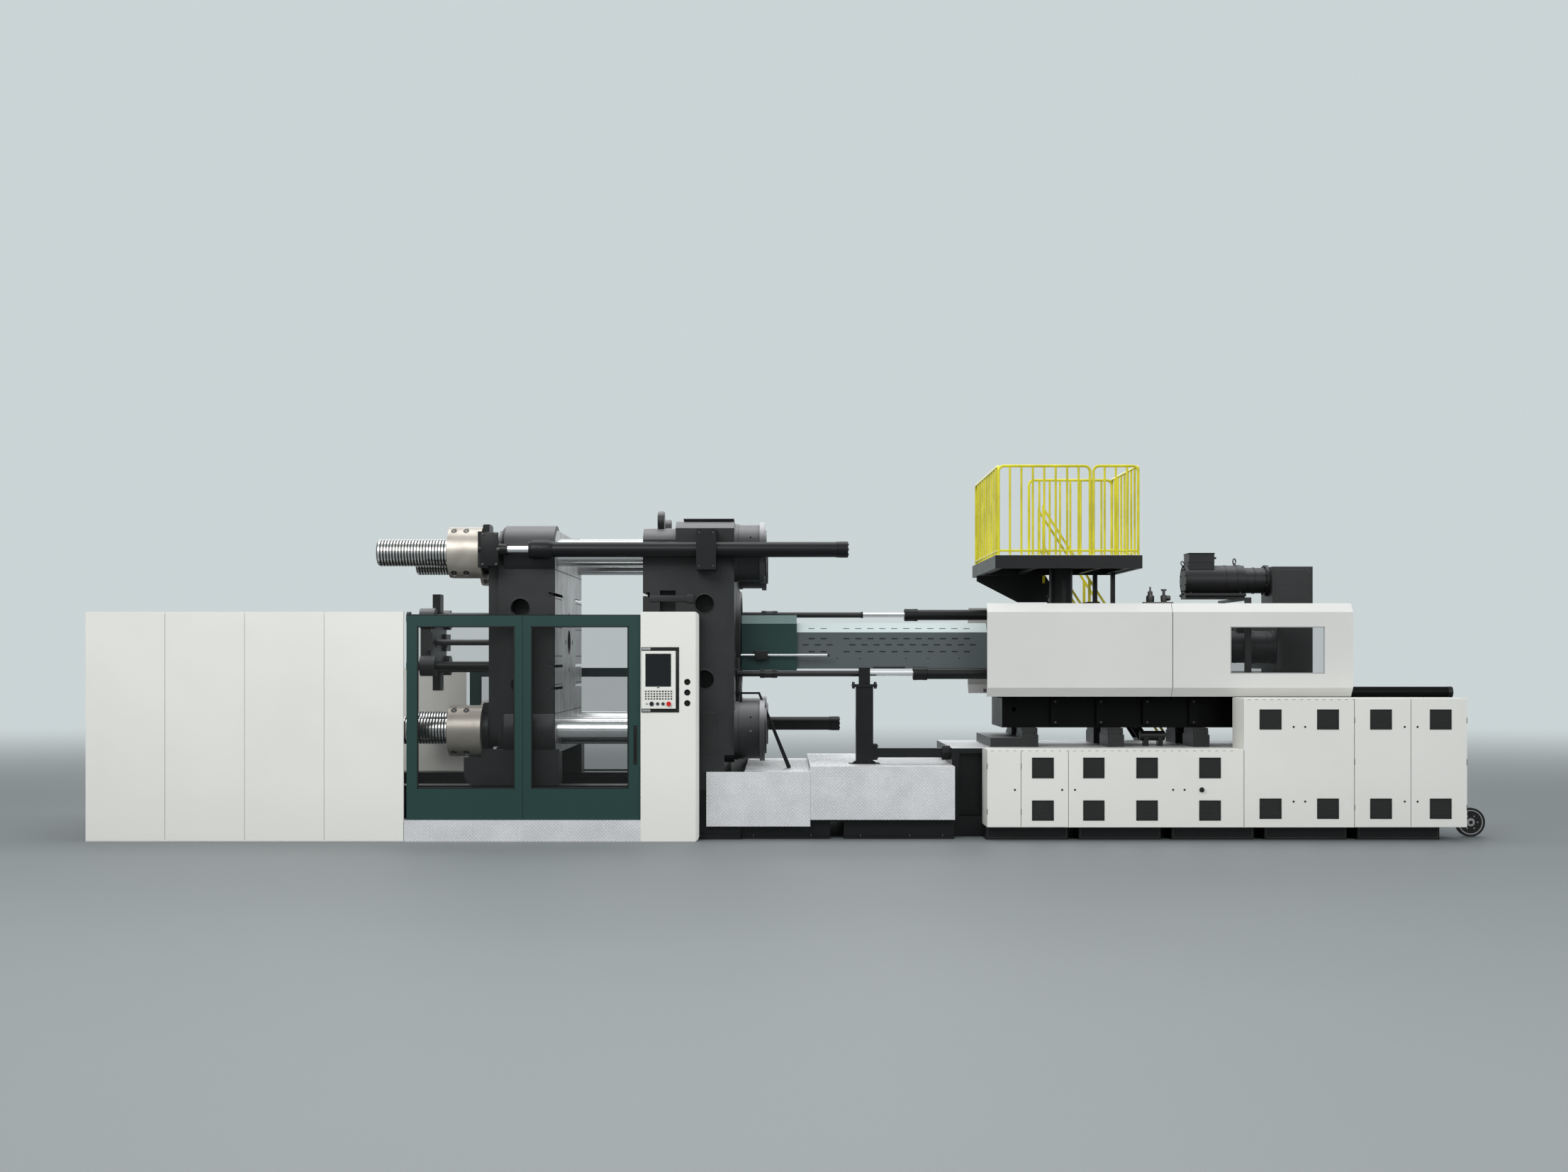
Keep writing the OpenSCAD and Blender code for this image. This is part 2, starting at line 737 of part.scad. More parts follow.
module traverse_rods() {
  color([0.85, 0.86, 0.87]) at_traverse() {
    rod_x(traverse_rod_r, bracket_x + 60, 380);
    rod_x(traverse_bore_r - fit, 300, 381);
  }
}

module rod_brackets() {
  color([0.08, 0.08, 0.08]) at_traverse_sides() difference() {
    union() {
      block([bracket_x, moving_back_x + 40], [-traverse_y - 60, -platen_half_w], [-215, 215]);
      block([bracket_x, moving_back_x - 1], [-platen_half_w - 1, -1310], [-215, 215]);
      translate([0, -traverse_y, 0]) rod_x(70, bracket_x, moving_back_x + 270);
    }
    translate([0, -traverse_y, 0]) rod_x(traverse_rod_r + fit, bracket_x + 60, moving_back_x + 300);
    translate([0, -bar_y, bar_z - traverse_z]) rod_x(nut_d / 2 + 30, bracket_x - over, moving_back_x);
  }
}

guide_places = [[-520, 300], [520, 300], [-520, -300], [520, -300]];
guide_left = moving_back_x - 1130;
module ejector_guides() {
  color([0.2, 0.2, 0.2]) for (g = guide_places) translate([0, g[0], axis_h + g[1]]) {
    rod_x(55, guide_left, moving_back_x);
    rod_x(90, moving_back_x - 60, moving_back_x);
    rod_x(85, guide_left - 40, guide_left + 1);
  }
}

// One half of a locking nut, its teeth clear of the grooves while it is open
module half_nut(side) {
  tooth_first = ceil((nut_x + 30 - bar_left_x - 40) / groove_pitch);
  tooth_last = floor((nut_x + nut_len - 30 - bar_left_x - 40) / groove_pitch) - 1;
  r = bar_d / 2;
  translate([0, side * nut_stroke, 0]) intersection() {
    difference() {
      rod_x(nut_d / 2, nut_x, nut_x + nut_len);
      rod_x(r + 1, nut_x - over, nut_x + nut_len + over);
      for (x = [nut_x + 70, nut_x + 220], s = [-1, 1]) translate([x, side * 130, s * nut_d / 2])
        cylinder(r = 26, h = 130, center = true);
    }
    block([nut_x - over, nut_x + nut_len + over], [side < 0 ? -nut_d : 1, side < 0 ? -1 : nut_d],
      [-nut_d, nut_d]);
  }
  translate([0, side * nut_stroke, 0]) intersection() {
    union() for (i = [tooth_first:tooth_last]) difference() {
      rod_x(r + 2, tooth_x(i), tooth_x(i) + groove_pitch * 0.24);
      rod_x(r - groove_depth + 2, tooth_x(i) - over, tooth_x(i) + groove_pitch);
    }
    block([nut_x, nut_x + nut_len], [side < 0 ? -nut_d : 1, side < 0 ? -1 : nut_d], [-nut_d, nut_d]);
  }
}
function tooth_x(i) = bar_left_x + 40 + i * groove_pitch + groove_pitch * 0.18;

module half_nuts_front() {
  color([0.66, 0.63, 0.58]) at_bars() half_nut(-1);
}

module half_nuts_back() {
  color([0.66, 0.63, 0.58]) at_bars() half_nut(1);
}

ejector_x0 = moving_back_x - 1000;
ejector_x1 = ejector_x0 + 130;
module ejector_plate() {
  color([0.14, 0.14, 0.14]) {
    difference() {
      union() {
        translate([0, 0, axis_h]) rod_x(430, ejector_x0, ejector_x1);
        for (a = [0:3]) translate([0, 0, axis_h]) rotate([a * 90, 0, 0])
          block([ejector_x1 - 60, ejector_x1 + 40], [-110, 110], [300, 620]);
        for (g = guide_places) translate([0, g[0], axis_h + g[1]]) rod_x(130, ejector_x0, ejector_x1 + 60);
        block([ejector_x0, ejector_x1], [-540, 540], [axis_h - 380, axis_h + 380]);
      }
      for (g = guide_places) translate([0, g[0], axis_h + g[1]])
        rod_x(55 + fit, ejector_x0 - over, ejector_x1 + 300);
    }
    for (p = ejector_pins) translate([0, p[0], axis_h + p[1]]) {
      rod_x(pin_r, ejector_x1 - 1, moving_face_x - ejector_travel - 40);
      rod_x(60, ejector_x1 - 1, ejector_x1 + 50);
    }
  }
}

// Sliding guard door with two window openings
door_z0 = skirt_top + seat;
door_z1 = 2711;
window_z = [636, 2580];
window_x = [[-4534, -3369], [-3164, -1999]];
door_y0 = front_y + cover_thk + 6;
module operator_door() {
  grip_x = [-1938, -1894];
  color([0.18, 0.31, 0.29]) difference() {
    block([door_x0, door_x1], [door_y0, door_y0 + door_thk], [door_z0, door_z1]);
    for (w = window_x) block([w[0], w[1]], [door_y0 - over, door_y0 + door_thk + over], window_z);
    block([-3272, -3268], [door_y0 - over, door_y0 + 3], [door_z0 - over, door_z1 + over]);
    block([grip_x[0], grip_x[1]], [door_y0 - over, door_y0 + 30], [920, 1388]);
  }
}

module door_windows() {
  color([0.5, 0.55, 0.55]) for (w = window_x)
    block([w[0], w[1]], [door_y0 + 20, door_y0 + 28], window_z);
}

back_window = [640, 1950];
module back_door() {
  color([0.18, 0.31, 0.29]) difference() {
    block(back_door_x, [back_out_y + 4, half_depth], [sill_top + seat, back_top]);
    block([back_door_x[0] + 150, back_door_x[1] - 150], [back_out_y, half_depth + over], back_window);
  }
}

module back_door_window() {
  color([0.5, 0.55, 0.55])
    block([back_door_x[0] + 150, back_door_x[1] - 150], [back_out_y + 12, back_out_y + 20], back_window);
}

guard_x = [-665, 34];
module hood(half_w, z0, z1, chamfer) {
  polygon([[-half_w, z0], [-half_w, z1 - chamfer], [-half_w + chamfer * 1.4, z1],
    [half_w - chamfer * 1.4, z1], [half_w, z1 - chamfer], [half_w, z0]]);
}

module nozzle_guard() {
  wall = 10;
  low = axis_h - 358;
  top = axis_h + 345;
  color([0.18, 0.31, 0.29]) difference() {
    union() {
      across(guard_x[0], guard_x[1]) hood(510, low, top, 110);
      both_sides() block([guard_x[0] + 170, guard_x[0] + 330], [rail_y - 30, -509],
        [rail_z - 50, rail_z + 50]);
    }
    across(guard_x[0] - over, guard_x[1] + over) hood(510 - wall, low - 42, top - wall, 110);
    both_sides() translate([0, rail_y, rail_z]) rod_x(14 + fit, guard_x[0], guard_x[1]);
  }
}

plate_x = [3650, 3800];
tray_h = fairing_low + 60;
module injection_beam() {
  rib_x = [3235, 3810, 4395, 4980, 5560, 6150];
  color([0.07, 0.07, 0.07]) {
    difference() {
      union() {
        both_sides() block([beam_x0, beam_x1], [beam_y - 40, beam_y], [beam_low, beam_top]);
        block([beam_x0, beam_x1], [-beam_y + 1, beam_y - 1], [beam_top - 40, beam_top]);
        block([beam_x0, beam_x1], [-beam_y + 1, beam_y - 1], [beam_low, beam_low + 40]);
        block([beam_x0, beam_x0 + 60], [-beam_y, beam_y], [beam_low, beam_top]);
        block([beam_x1 - 60, beam_x1], [-beam_y, beam_y], [beam_low, beam_top]);
        for (x = rib_x) both_sides()
          block([x, x + 110], [beam_y - 1, beam_y + 60], [beam_low + 40, beam_top - 20]);
      }
      translate([beam_x0 + 150, 0, beam_low + 231]) rod_y(30, -beam_y - over, beam_y + over);
    }
    block([fairing_x + 200, fairing_right - 200], [-beam_y + 30, beam_y - 30], [beam_top - 1, tray_h]);
    both_sides() block([fairing_x + 200, fairing_right - 200], [beam_y - 31, fairing_y - 121],
      [tray_h - 40, tray_h]);
    for (x = [2700, 3300, 4400, 5200, fairing_right - 316]) both_sides() {
      block([x, x + 50], [fairing_y - 150, fairing_y - 121], [tray_h - 1, tray_h + 166]);
      block([x, x + 50], [fairing_y - 150, fairing_y - fairing_thk], [tray_h + 76, tray_h + 166]);
    }
    difference() {
      block(plate_x, [-930, 930], [tray_h - 1, axis_h + 500]);
      block([plate_x[0] - over, plate_x[1] + over], [-260, 260], [axis_h - barrel_r - 5, axis_h + 240]);
    }
    translate([0, -1000, tray_h - 6]) rod_x(68, fairing_right - 366, fairing_right + 1278);
  }
}

module barrel() {
  color([0.35, 0.35, 0.36]) translate([0, 0, axis_h]) difference() {
    union() {
      rod_x(barrel_r, barrel_x0, barrel_x1);
      for (i = [0:9]) rod_x(barrel_r + 22, barrel_x0 + 60 + i * 235, barrel_x0 + 260 + i * 235);
      rod_x(barrel_r + 50, barrel_x0 - 120, barrel_x0 + 1);
      translate([nozzle_x + 120, 0, 0]) rod_x(62, 0, barrel_x0 - 119 - nozzle_x - 120);
      translate([nozzle_x, 0, 0]) rotate([0, 90, 0]) cylinder(r1 = 30, r2 = 62, h = 121);
      block([3200, barrel_x1], [-260, 260], [-150, 240]);
    }
    rod_x(screw_d / 2 + fit, barrel_x0 - 60, barrel_x1 + over);
    rod_x(8, nozzle_x - over, barrel_x0);
    translate([3455, 0, 0]) cylinder(r = 90, h = 400);
  }
}

module barrel_guard() {
  wall = 8;
  end_x = fairing_x + 80;
  low = axis_h - 336;
  top = axis_h + 246;
  color([0.34, 0.37, 0.37]) {
    difference() {
      across(35, end_x) hood(450, low, top, 120);
      across(34, end_x + over) hood(450 - wall, low - 64, top - wall, 120);
    }
    for (x = [414, end_x - 157]) difference() {
      across(x, x + 26) hood(450 - 1, low + 116, top - 1, 120);
      translate([0, 0, axis_h]) rod_x(barrel_r + fit, x - over, x + 30);
    }
  }
}

module fairing_profile() {
  chamfer = 110;
  cut = 90;
  in_y = -fairing_y + fairing_thk;
  polygon([[-fairing_y + cut, fairing_low], [-fairing_y, fairing_low + chamfer],
    [-fairing_y, fairing_top - chamfer], [-fairing_y + cut, fairing_top], [in_y + cut, fairing_top],
    [in_y, fairing_top - chamfer - 8], [in_y, fairing_low + chamfer + 8], [in_y + cut, fairing_low]]);
}

fairing_hole_x = [fairing_right - 1504, fairing_right - 353];
fairing_hole_z = [axis_h - 388, axis_h + 183];
module fairing_side(x0, x1) {
  across(x0, x1) {
    fairing_profile();
    mirror([1, 0]) fairing_profile();
  }
}

module fairing_front() {
  color([0.84, 0.84, 0.82]) fairing_side(fairing_x, split_x - 3);
}

module fairing_rear() {
  color([0.84, 0.84, 0.82]) difference() {
    fairing_side(split_x + 3, fairing_right);
    both_sides() block(fairing_hole_x, [-fairing_y - over, -fairing_y + fairing_thk + 5], fairing_hole_z);
  }
}

module fairing_window() {
  color([0.5, 0.55, 0.55]) both_sides()
    block(fairing_hole_x, [-fairing_y + 10, -fairing_y + 18], fairing_hole_z);
}

module carriage_cylinders() {
  color([0.12, 0.12, 0.12]) at_carriage_rods() difference() {
    union() {
      rod_x(70, carriage_gland_x, plate_x[0]);
      rod_x(82, carriage_gland_x, carriage_gland_x + 175);
    }
    rod_x(55, carriage_gland_x + 120, 3200);
    rod_x(piston_rod_r + fit, carriage_gland_x - over, carriage_gland_x + 130);
  }
}

deck_x = [2485, 4305];
deck_y = [-1050, 850];
module platform_deck() {
  rim = 161;
  color([0.12, 0.12, 0.13]) difference() {
    block(deck_x, deck_y, [platform_h - rim, platform_h]);
    block([deck_x[0] + 60, deck_x[1] - 60], [deck_y[0] + 60, deck_y[1] - 60],
      [platform_h - rim - over, platform_h - 20]);
  }
}

// Rail loop on the deck: a bent tube with bars and a foot tube inside
bend_r = 70;
module railing_run(len, count) {
  r = tube_d / 2;
  for (x = [0, len]) translate([x, 0, 0]) cylinder(r = r, h = railing_h - r - bend_r);
  for (i = [1:count - 1]) translate([i * len / count, 0, 0]) cylinder(r = r * 0.8, h = railing_h - r);
  translate([0, 0, railing_h - r]) rod_x(r, bend_r, len - bend_r);
  translate([0, 0, 60]) rod_x(r * 0.8, 0, len);
  translate([bend_r, 0, railing_h - r - bend_r]) tube_bend(r, -1);
  translate([len - bend_r, 0, railing_h - r - bend_r]) tube_bend(r, 1);
}

// Upper quarter bend of a tube in the XZ plane, towards one side
module tube_bend(r, side) {
  reach = bend_r + r + over;
  intersection() {
    rotate([90, 0, 0]) rotate_extrude() translate([bend_r, 0]) circle(r = r);
    translate([side < 0 ? -reach : 0, -r - over, 0]) cube([reach, 2 * r + 2 * over, reach]);
  }
}

// Handrail of square tube beside one stringer
module stair_rail() {
  first = 0.075;
  last = 0.95;
  top = on_stairs(first);
  low = on_stairs(last) + [tube_d, 0];
  deep = tube_d * 1.5;
  for (z = [railing_h - deep, railing_h * 0.5])
    polygon([top + [0, z], top + [0, z + deep], low + [0, z + deep], low + [0, z]]);
  for (t = [0:3]) translate(on_stairs(first + (last - first) * t / 3) + [0, 60])
    square([tube_d, railing_h - 100]);
}

module platform_railing() {
  inset = 45;
  long_side = deck_x[1] - deck_x[0] - 2 * inset;
  short_side = deck_y[1] - deck_y[0] - 2 * inset;
  color([0.79, 0.77, 0.17]) translate([deck_x[0] + inset, deck_y[0] + inset, platform_h]) {
    railing_run(long_side * 0.655, 8);
    translate([long_side * 0.68, 0, 0]) railing_run(long_side * 0.32, 4);
    rotate([0, 0, 90]) railing_run(stairs_y[1] - deck_y[0] - 2 * inset, 10);
    translate([long_side, 0, 0]) rotate([0, 0, 90]) railing_run(short_side, 8);
    translate([long_side * 0.36, short_side, 0]) railing_run(long_side * 0.64, 8);
  }
  color([0.79, 0.77, 0.17]) for (y = [stairs_y[0] - seat - tube_d, stairs_y[1] + seat])
    along(y, y + tube_d) stair_rail();
}

module platform_supports() {
  color([0.07, 0.07, 0.07]) {
    translate([3455, 0, axis_h + 240]) difference() {
      cylinder(r = 150, h = platform_h - 20 - axis_h - 240);
      translate([0, 0, -over]) cylinder(r = 90, h = platform_h);
    }
    for (x = [3980, 4215]) block([x - 28, x + 28], [452, 508], [axis_h - 152, platform_h - 20]);
    block([plate_x[1], 4300], [440, 830], [axis_h - 190, axis_h - 151]);
  }
}

stairs_y = [1240, 1640];
stairs_top = [3230, platform_h - 60];
stairs_foot = [5370, 40];
stringer_w = 150;
module platform_stairs() {
  count = 15;
  tread = 200;
  landing_x = stairs_top[0] + stringer_w;
  color([0.12, 0.12, 0.12]) {
    for (y = [stairs_y[0], stairs_y[1] - 30]) along(y, y + 30)
      polygon([stairs_top, stairs_top + [stringer_w, 0], stairs_foot + [stringer_w, 0], stairs_foot]);
    for (i = [1:count]) translate([on_stairs(i / (count + 1))[0], 0, on_stairs(i / (count + 1))[1]])
      block([0, tread], [stairs_y[0] + 29, stairs_y[1] - 29], [-12, 12]);
    block([deck_x[0], landing_x], [deck_y[1], stairs_y[1] + tube_d], [platform_h - 161, platform_h]);
    along(stairs_y[0], stairs_y[0] + 30) polygon([[deck_x[0] + 15, platform_h - 225],
      [deck_x[0] + 15, platform_h - 160], [landing_x, platform_h - 160],
      [landing_x + 100, platform_h - 513], [3057, platform_h - 513]]);
  }
}

function on_stairs(t) = stairs_top + t * (stairs_foot - stairs_top);

module screw() {
  color([0.7, 0.7, 0.7]) translate([0, 0, axis_h]) {
    rod_x(screw_d / 2, barrel_x0 + screw_stroke + 60, barrel_x1 + 200);
    translate([barrel_x0 + screw_stroke - 40, 0, 0]) rotate([0, 90, 0]) cylinder(r1 = 4, r2 = 60, h = 101);
    rod_x(55, barrel_x1 + 199, gear_x0);
  }
}

gear_x0 = fairing_right - 745;
gear_x1 = fairing_right - 228;
gear_y = 270;
drive_low = tray_h + seat;
drive_top = drive_low + 46;
module gearbox() {
  frame_x = [gear_x0 - 461, gear_x0 - 381];
  color([0.15, 0.15, 0.15]) {
    block([gear_x0, gear_x1], [-gear_y, gear_y], [drive_low, axis_h + 970]);
    block([gear_x0 - 821, gear_x1], [-gear_y, gear_y], [drive_low, drive_top]);
    difference() {
      union() {
        translate([0, 0, axis_h]) rod_x(110, gear_x0 - 221, gear_x0 + 1);
        block([gear_x0 - 48, gear_x0 + 1], [-680, 680], [axis_h - 340, axis_h + 240]);
      }
      translate([0, 0, axis_h]) rod_x(55 + fit, gear_x0 - 321, gear_x0);
    }
    block(frame_x, [-710, 710], [drive_low, drive_top]);
    both_sides() block(frame_x, [670, 710], [drive_top - 1, axis_h + 530]);
    block(frame_x, [-710, 710], [axis_h + 529, axis_h + 561]);
  }
}

motor_z = axis_h + 801;
module drive_motors() {
  color([0.15, 0.15, 0.15]) {
    translate([gear_x0, 0, motor_z]) {
      rod_x(196, -1083, -316);
      rod_x(165, -317, -31);
      rod_x(200, -41, 0);
    }
    block([gear_x0 - 1039, gear_x0 - 713], [-150, 150], [motor_z + 139, motor_z + 351]);
    block([gear_x0 - 1081, gear_x0 - 321], [-150, 150], [axis_h + 561, axis_h + 630]);
    both_sides() translate([gear_x0, 450, axis_h - 62]) {
      rod_x(200, -624, -81);
      rod_x(170, -661, -623);
      rod_x(212, -82, -48);
    }
  }
}

clamp_base();
fixed_platen();
clamp_cylinders();
cylinder_caps();
tie_bars();
traverse_cylinders();
cylinder_brackets();
front_covers();
back_covers();
door_skirt();
control_column();
control_panel();
mid_base();
tread_boxes();
carriage_post();
platen_brace();
guard_rails();
carriage_rods();
injection_base();
low_cabinet();
high_cabinet();
pedestals();
service_cylinders();
moving_platen();
nut_housings();
platen_shoes();
traverse_rods();
rod_brackets();
ejector_guides();
half_nuts_front();
half_nuts_back();
ejector_plate();
operator_door();
door_windows();
back_door();
back_door_window();
nozzle_guard();
injection_beam();
barrel();
barrel_guard();
fairing_front();
fairing_rear();
fairing_window();
carriage_cylinders();
platform_deck();
platform_railing();
platform_supports();
platform_stairs();
screw();
gearbox();
drive_motors();
wheel();
emergency_stop();
mode_knob();
start_button();
stop_button();
cabinet_door_1();
cabinet_door_2();
cabinet_door_3();
cabinet_door_4();
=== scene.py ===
import math
import random
from itertools import product

import bmesh
import bpy
from mathutils import Matrix, Vector


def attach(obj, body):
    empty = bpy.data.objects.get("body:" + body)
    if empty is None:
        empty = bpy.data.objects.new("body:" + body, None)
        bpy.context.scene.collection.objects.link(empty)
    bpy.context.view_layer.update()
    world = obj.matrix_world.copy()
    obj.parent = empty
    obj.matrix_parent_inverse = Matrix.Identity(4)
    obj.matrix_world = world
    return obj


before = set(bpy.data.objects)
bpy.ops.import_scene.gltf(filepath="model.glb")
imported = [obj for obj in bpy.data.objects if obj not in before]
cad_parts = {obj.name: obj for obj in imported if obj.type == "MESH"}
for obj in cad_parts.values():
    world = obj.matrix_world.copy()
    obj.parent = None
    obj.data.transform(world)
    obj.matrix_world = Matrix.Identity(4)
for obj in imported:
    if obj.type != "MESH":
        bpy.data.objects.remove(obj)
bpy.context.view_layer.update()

print("frame loaded")


class Wire:  # one socket of a material, so that shader maths reads as an expression
    def __init__(self, finish, out):
        self.finish = finish
        self.out = out

    def calc(self, operation, *others):
        return self.finish.add("ShaderNodeMath", {"operation": operation}, dict(enumerate((self,) + others)))

    def __add__(self, other):
        return self.calc("ADD", other)

    __radd__ = __add__

    def __mul__(self, other):
        return self.calc("MULTIPLY", other)

    __rmul__ = __mul__

    def __sub__(self, other):
        return self.calc("SUBTRACT", other)

    def __rsub__(self, other):
        return self.finish.add("ShaderNodeMath", {"operation": "SUBTRACT"}, {0: other, 1: self})

    def __truediv__(self, other):
        return self.calc("DIVIDE", other)

    def __gt__(self, other):
        return self.calc("GREATER_THAN", other)

    def __lt__(self, other):
        return self.calc("LESS_THAN", other)

    def __abs__(self):
        return self.calc("ABSOLUTE")

    def low(self, other):
        return self.calc("MINIMUM", other)

    def high(self, other):
        return self.calc("MAXIMUM", other)

    def part(self):
        return self.calc("FRACT")

    def step(self, start, end):  # 0 below start, 1 above end, soft between
        return self.finish.add("ShaderNodeMapRange", {"interpolation_type": "SMOOTHSTEP"},
                               {"Value": self, "From Min": start, "From Max": end})


class Finish:  # a material and its Principled shader
    def __init__(self, name, color=(0.5, 0.5, 0.5), roughness=0.5, metallic=0.0, **rest):
        self.mat = bpy.data.materials.new(name)
        self.mat.use_nodes = True
        self.tree = self.mat.node_tree
        self.shader = self.tree.nodes["Principled BSDF"]
        self.set("Base Color", (*color, 1.0))
        self.set("Roughness", roughness)
        self.set("Metallic", metallic)
        for key, value in rest.items():
            self.set(key.replace("_", " "), value)
        self.where = None

    def set(self, socket, value):
        self.join(value, self.shader.inputs[socket])

    def join(self, value, socket):
        if isinstance(value, Wire):
            self.tree.links.new(value.out, socket)
        else:
            socket.default_value = value

    def add(self, kind, settings=None, inputs=None, out=0):
        node = self.tree.nodes.new(kind)
        for key, value in (settings or {}).items():
            setattr(node, key, value)
        for key, value in (inputs or {}).items():
            self.join(value, node.inputs[key])
        return Wire(self, node.outputs[out])

    def place(self):  # point on the piece, in metres
        if self.where is None:
            self.where = self.add("ShaderNodeTexCoord", out="Object")
        return self.where

    def axes(self):
        split = self.add("ShaderNodeSeparateXYZ", None, {0: self.place()})
        return [Wire(self, split.out.node.outputs[i]) for i in range(3)]

    def facing(self):  # the surface's own direction, on its piece
        normal = self.add("ShaderNodeTexCoord", out="Normal")
        split = self.add("ShaderNodeSeparateXYZ", None, {0: normal})
        return [Wire(self, split.out.node.outputs[i]) for i in range(3)]

    def stretch(self, scale):
        return self.add("ShaderNodeVectorMath", {"operation": "MULTIPLY"}, {0: self.place(), 1: scale})

    def noise(self, scale, detail=3.0, roughness=0.5, vector=None):
        return self.add("ShaderNodeTexNoise", None, {"Vector": vector or self.place(), "Scale": scale,
                                                     "Detail": detail, "Roughness": roughness})

    def mix(self, factor, first, second):
        node = self.add("ShaderNodeMix", {"data_type": "RGBA"}, {}).out.node
        sockets = [s for s in node.inputs if s.enabled]
        for socket, value in zip(sockets, (factor, first, second)):
            if not isinstance(value, Wire) and socket.type == "RGBA":
                value = (*value[:3], 1.0)
            self.join(value, socket)
        return Wire(self, [s for s in node.outputs if s.enabled][0])

    def bump(self, height, distance, strength=1.0):
        inputs = {"Height": height, "Distance": distance, "Strength": strength}
        self.set("Normal", self.add("ShaderNodeBump", None, inputs))


def shade(color, k):
    return tuple(c * k for c in color)


tones = {
    "coverWhite": (0.775, 0.775, 0.728),
    "fairingWhite": (0.665, 0.665, 0.64),
    "guardGreen": (0.013, 0.046, 0.041),
    "castBlack": (0.0175, 0.0175, 0.018),
    "frameBlack": (0.0055, 0.0055, 0.006),
    "beamBlack": (0.0022, 0.0022, 0.0024),
    "guardGrey": (0.088, 0.108, 0.110),
    "railYellow": (0.58, 0.53, 0.02),
    "motorBlack": (0.008, 0.008, 0.0085),
    "nozzleSlopeLit": (0.05, 0.115, 0.105),
    "guardSlopeLit": (0.43, 0.50, 0.495),
    "milled": (0.56, 0.565, 0.57),
    "milledStain": (0.42, 0.422, 0.425),
    "scribed": (0.012, 0.012, 0.012),
    "chrome": (0.80, 0.805, 0.81),
    "chromeOiled": (0.70, 0.695, 0.68),
    "barChrome": (0.78, 0.785, 0.79),
    "barOiled": (0.64, 0.64, 0.625),
    "grooveShade": (0.12, 0.115, 0.105),
    "brushedSteel": (0.43, 0.395, 0.345),
    "darkSteel": (0.085, 0.083, 0.08),
    "treadPlate": (0.76, 0.76, 0.77),
    "window": (0.03, 0.033, 0.033),
    "rubber": (0.012, 0.012, 0.012),
    "stopRed": (0.62, 0.012, 0.01),
    "plasticBlack": (0.007, 0.007, 0.007),
    "plasticGrey": (0.33, 0.34, 0.34),
    "ventBlack": (0.010, 0.010, 0.010),
    "screen": (0.004, 0.006, 0.008),
}


# last argument: painted highlight, a lighter tone for folds that face up, where the top light falls
def powderCoat(name, color, roughness=0.36, dust=0.25, litSlopeColor=None):
    f = Finish(name, color, roughness, Specular_IOR_Level=0.3)
    x, y, z = f.axes()
    cloud = f.noise(0.9, 4.0)
    fine = f.noise(38.0, 2.0)
    low = 1 - z.step(0.0, 0.9)
    soil = low * cloud.step(0.35, 0.75) * dust
    tone = f.mix(cloud.step(0.3, 0.7), shade(color, 0.975), shade(color, 1.02))
    tone = f.mix(soil, tone, shade(color, 0.78))
    if litSlopeColor:
        nx, ny, nz = f.facing()
        # painted highlight: folds facing up take the lighter tone
        tone = f.mix((nz > 0.35) * (nz < 0.93), tone, litSlopeColor)
    f.set("Base Color", tone)
    f.set("Roughness", fine.step(0.2, 0.8) * 0.08 + cloud * 0.08 + (roughness - 0.08))
    peel = f.noise(260.0, 1.0)
    f.bump(peel, 0.0006, 0.35)
    return f


mouldFace = {"axis": 2.4, "pitch": 0.35, "line": 0.018, "plain": 0.72, "slant": 0.009, "fixed": (-1.843, -1),
             "moving": (-2.909, 1)}


# faceAt: where the machined mould face lies, and its direction
def castPaint(name, color, grain=1.0, faceAt=None):
    f = Finish(name, color, 0.45, Specular_IOR_Level=0.28)
    cloud = f.noise(1.6, 4.0)
    sand = f.noise(150.0, 3.0, 0.62)
    lumps = f.noise(22.0, 3.0)
    worn = f.noise(7.0, 5.0, 0.65).step(0.62, 0.78)
    tone = f.mix(cloud.step(0.3, 0.72), shade(color, 0.82), shade(color, 1.35))
    tone = f.mix(worn * 0.35, tone, shade(color, 2.1))
    nx, ny, nz = f.facing()
    tone = f.mix(nz.step(0.25, 0.95), tone, shade(color, 9.0))  # painted highlight: faces turned up are made lighter, standing in for the top light's sheen
    if faceAt is None:
        f.set("Base Color", tone)
        f.set("Roughness", cloud * 0.14 + sand * 0.12 + 0.30)
        f.bump(sand * 0.5 + lumps * 0.8, 0.0022 * grain, 0.6)
        return f
    at, way = faceAt
    x, y, z = f.axes()
    bare = (nx * way > 0.9) * (abs(x - at) < 0.004)
    up = z - mouldFace["axis"]
    far = abs(y).high(abs(up)) > mouldFace["plain"]
    pitch = mouldFace["pitch"]
    grid = abs((y / pitch).part() - 0.5).low(abs((up / pitch).part() - 0.5)) < mouldFace["line"]
    slant = (abs(abs(y) - abs(up)) < mouldFace["slant"]) * (1 - far) * (abs(y) > 0.2)
    lines = bare * (grid * far).high(slant)  # scribed lines between the slots
    milled = f.noise(1.0, 3.0, 0.6, f.stretch((3.0, 3.0, 190.0)))
    stain = f.noise(2.1, 5.0, 0.6)
    metal = f.mix(stain.step(0.35, 0.7), tones["milled"], tones["milledStain"])
    f.set("Base Color", f.mix(lines, f.mix(bare, tone, metal), tones["scribed"]))
    f.set("Metallic", bare * 0.35)
    rough = cloud * 0.14 + sand * 0.12 + 0.30
    smooth = milled * 0.14 + stain * 0.1 + 0.3
    f.set("Roughness", rough * (1 - bare) + smooth * bare)
    f.bump((sand * 0.5 + lumps * 0.8) * (1 - bare) + milled * bare * 0.15 - lines, 0.0022 * grain, 0.6)
    return f


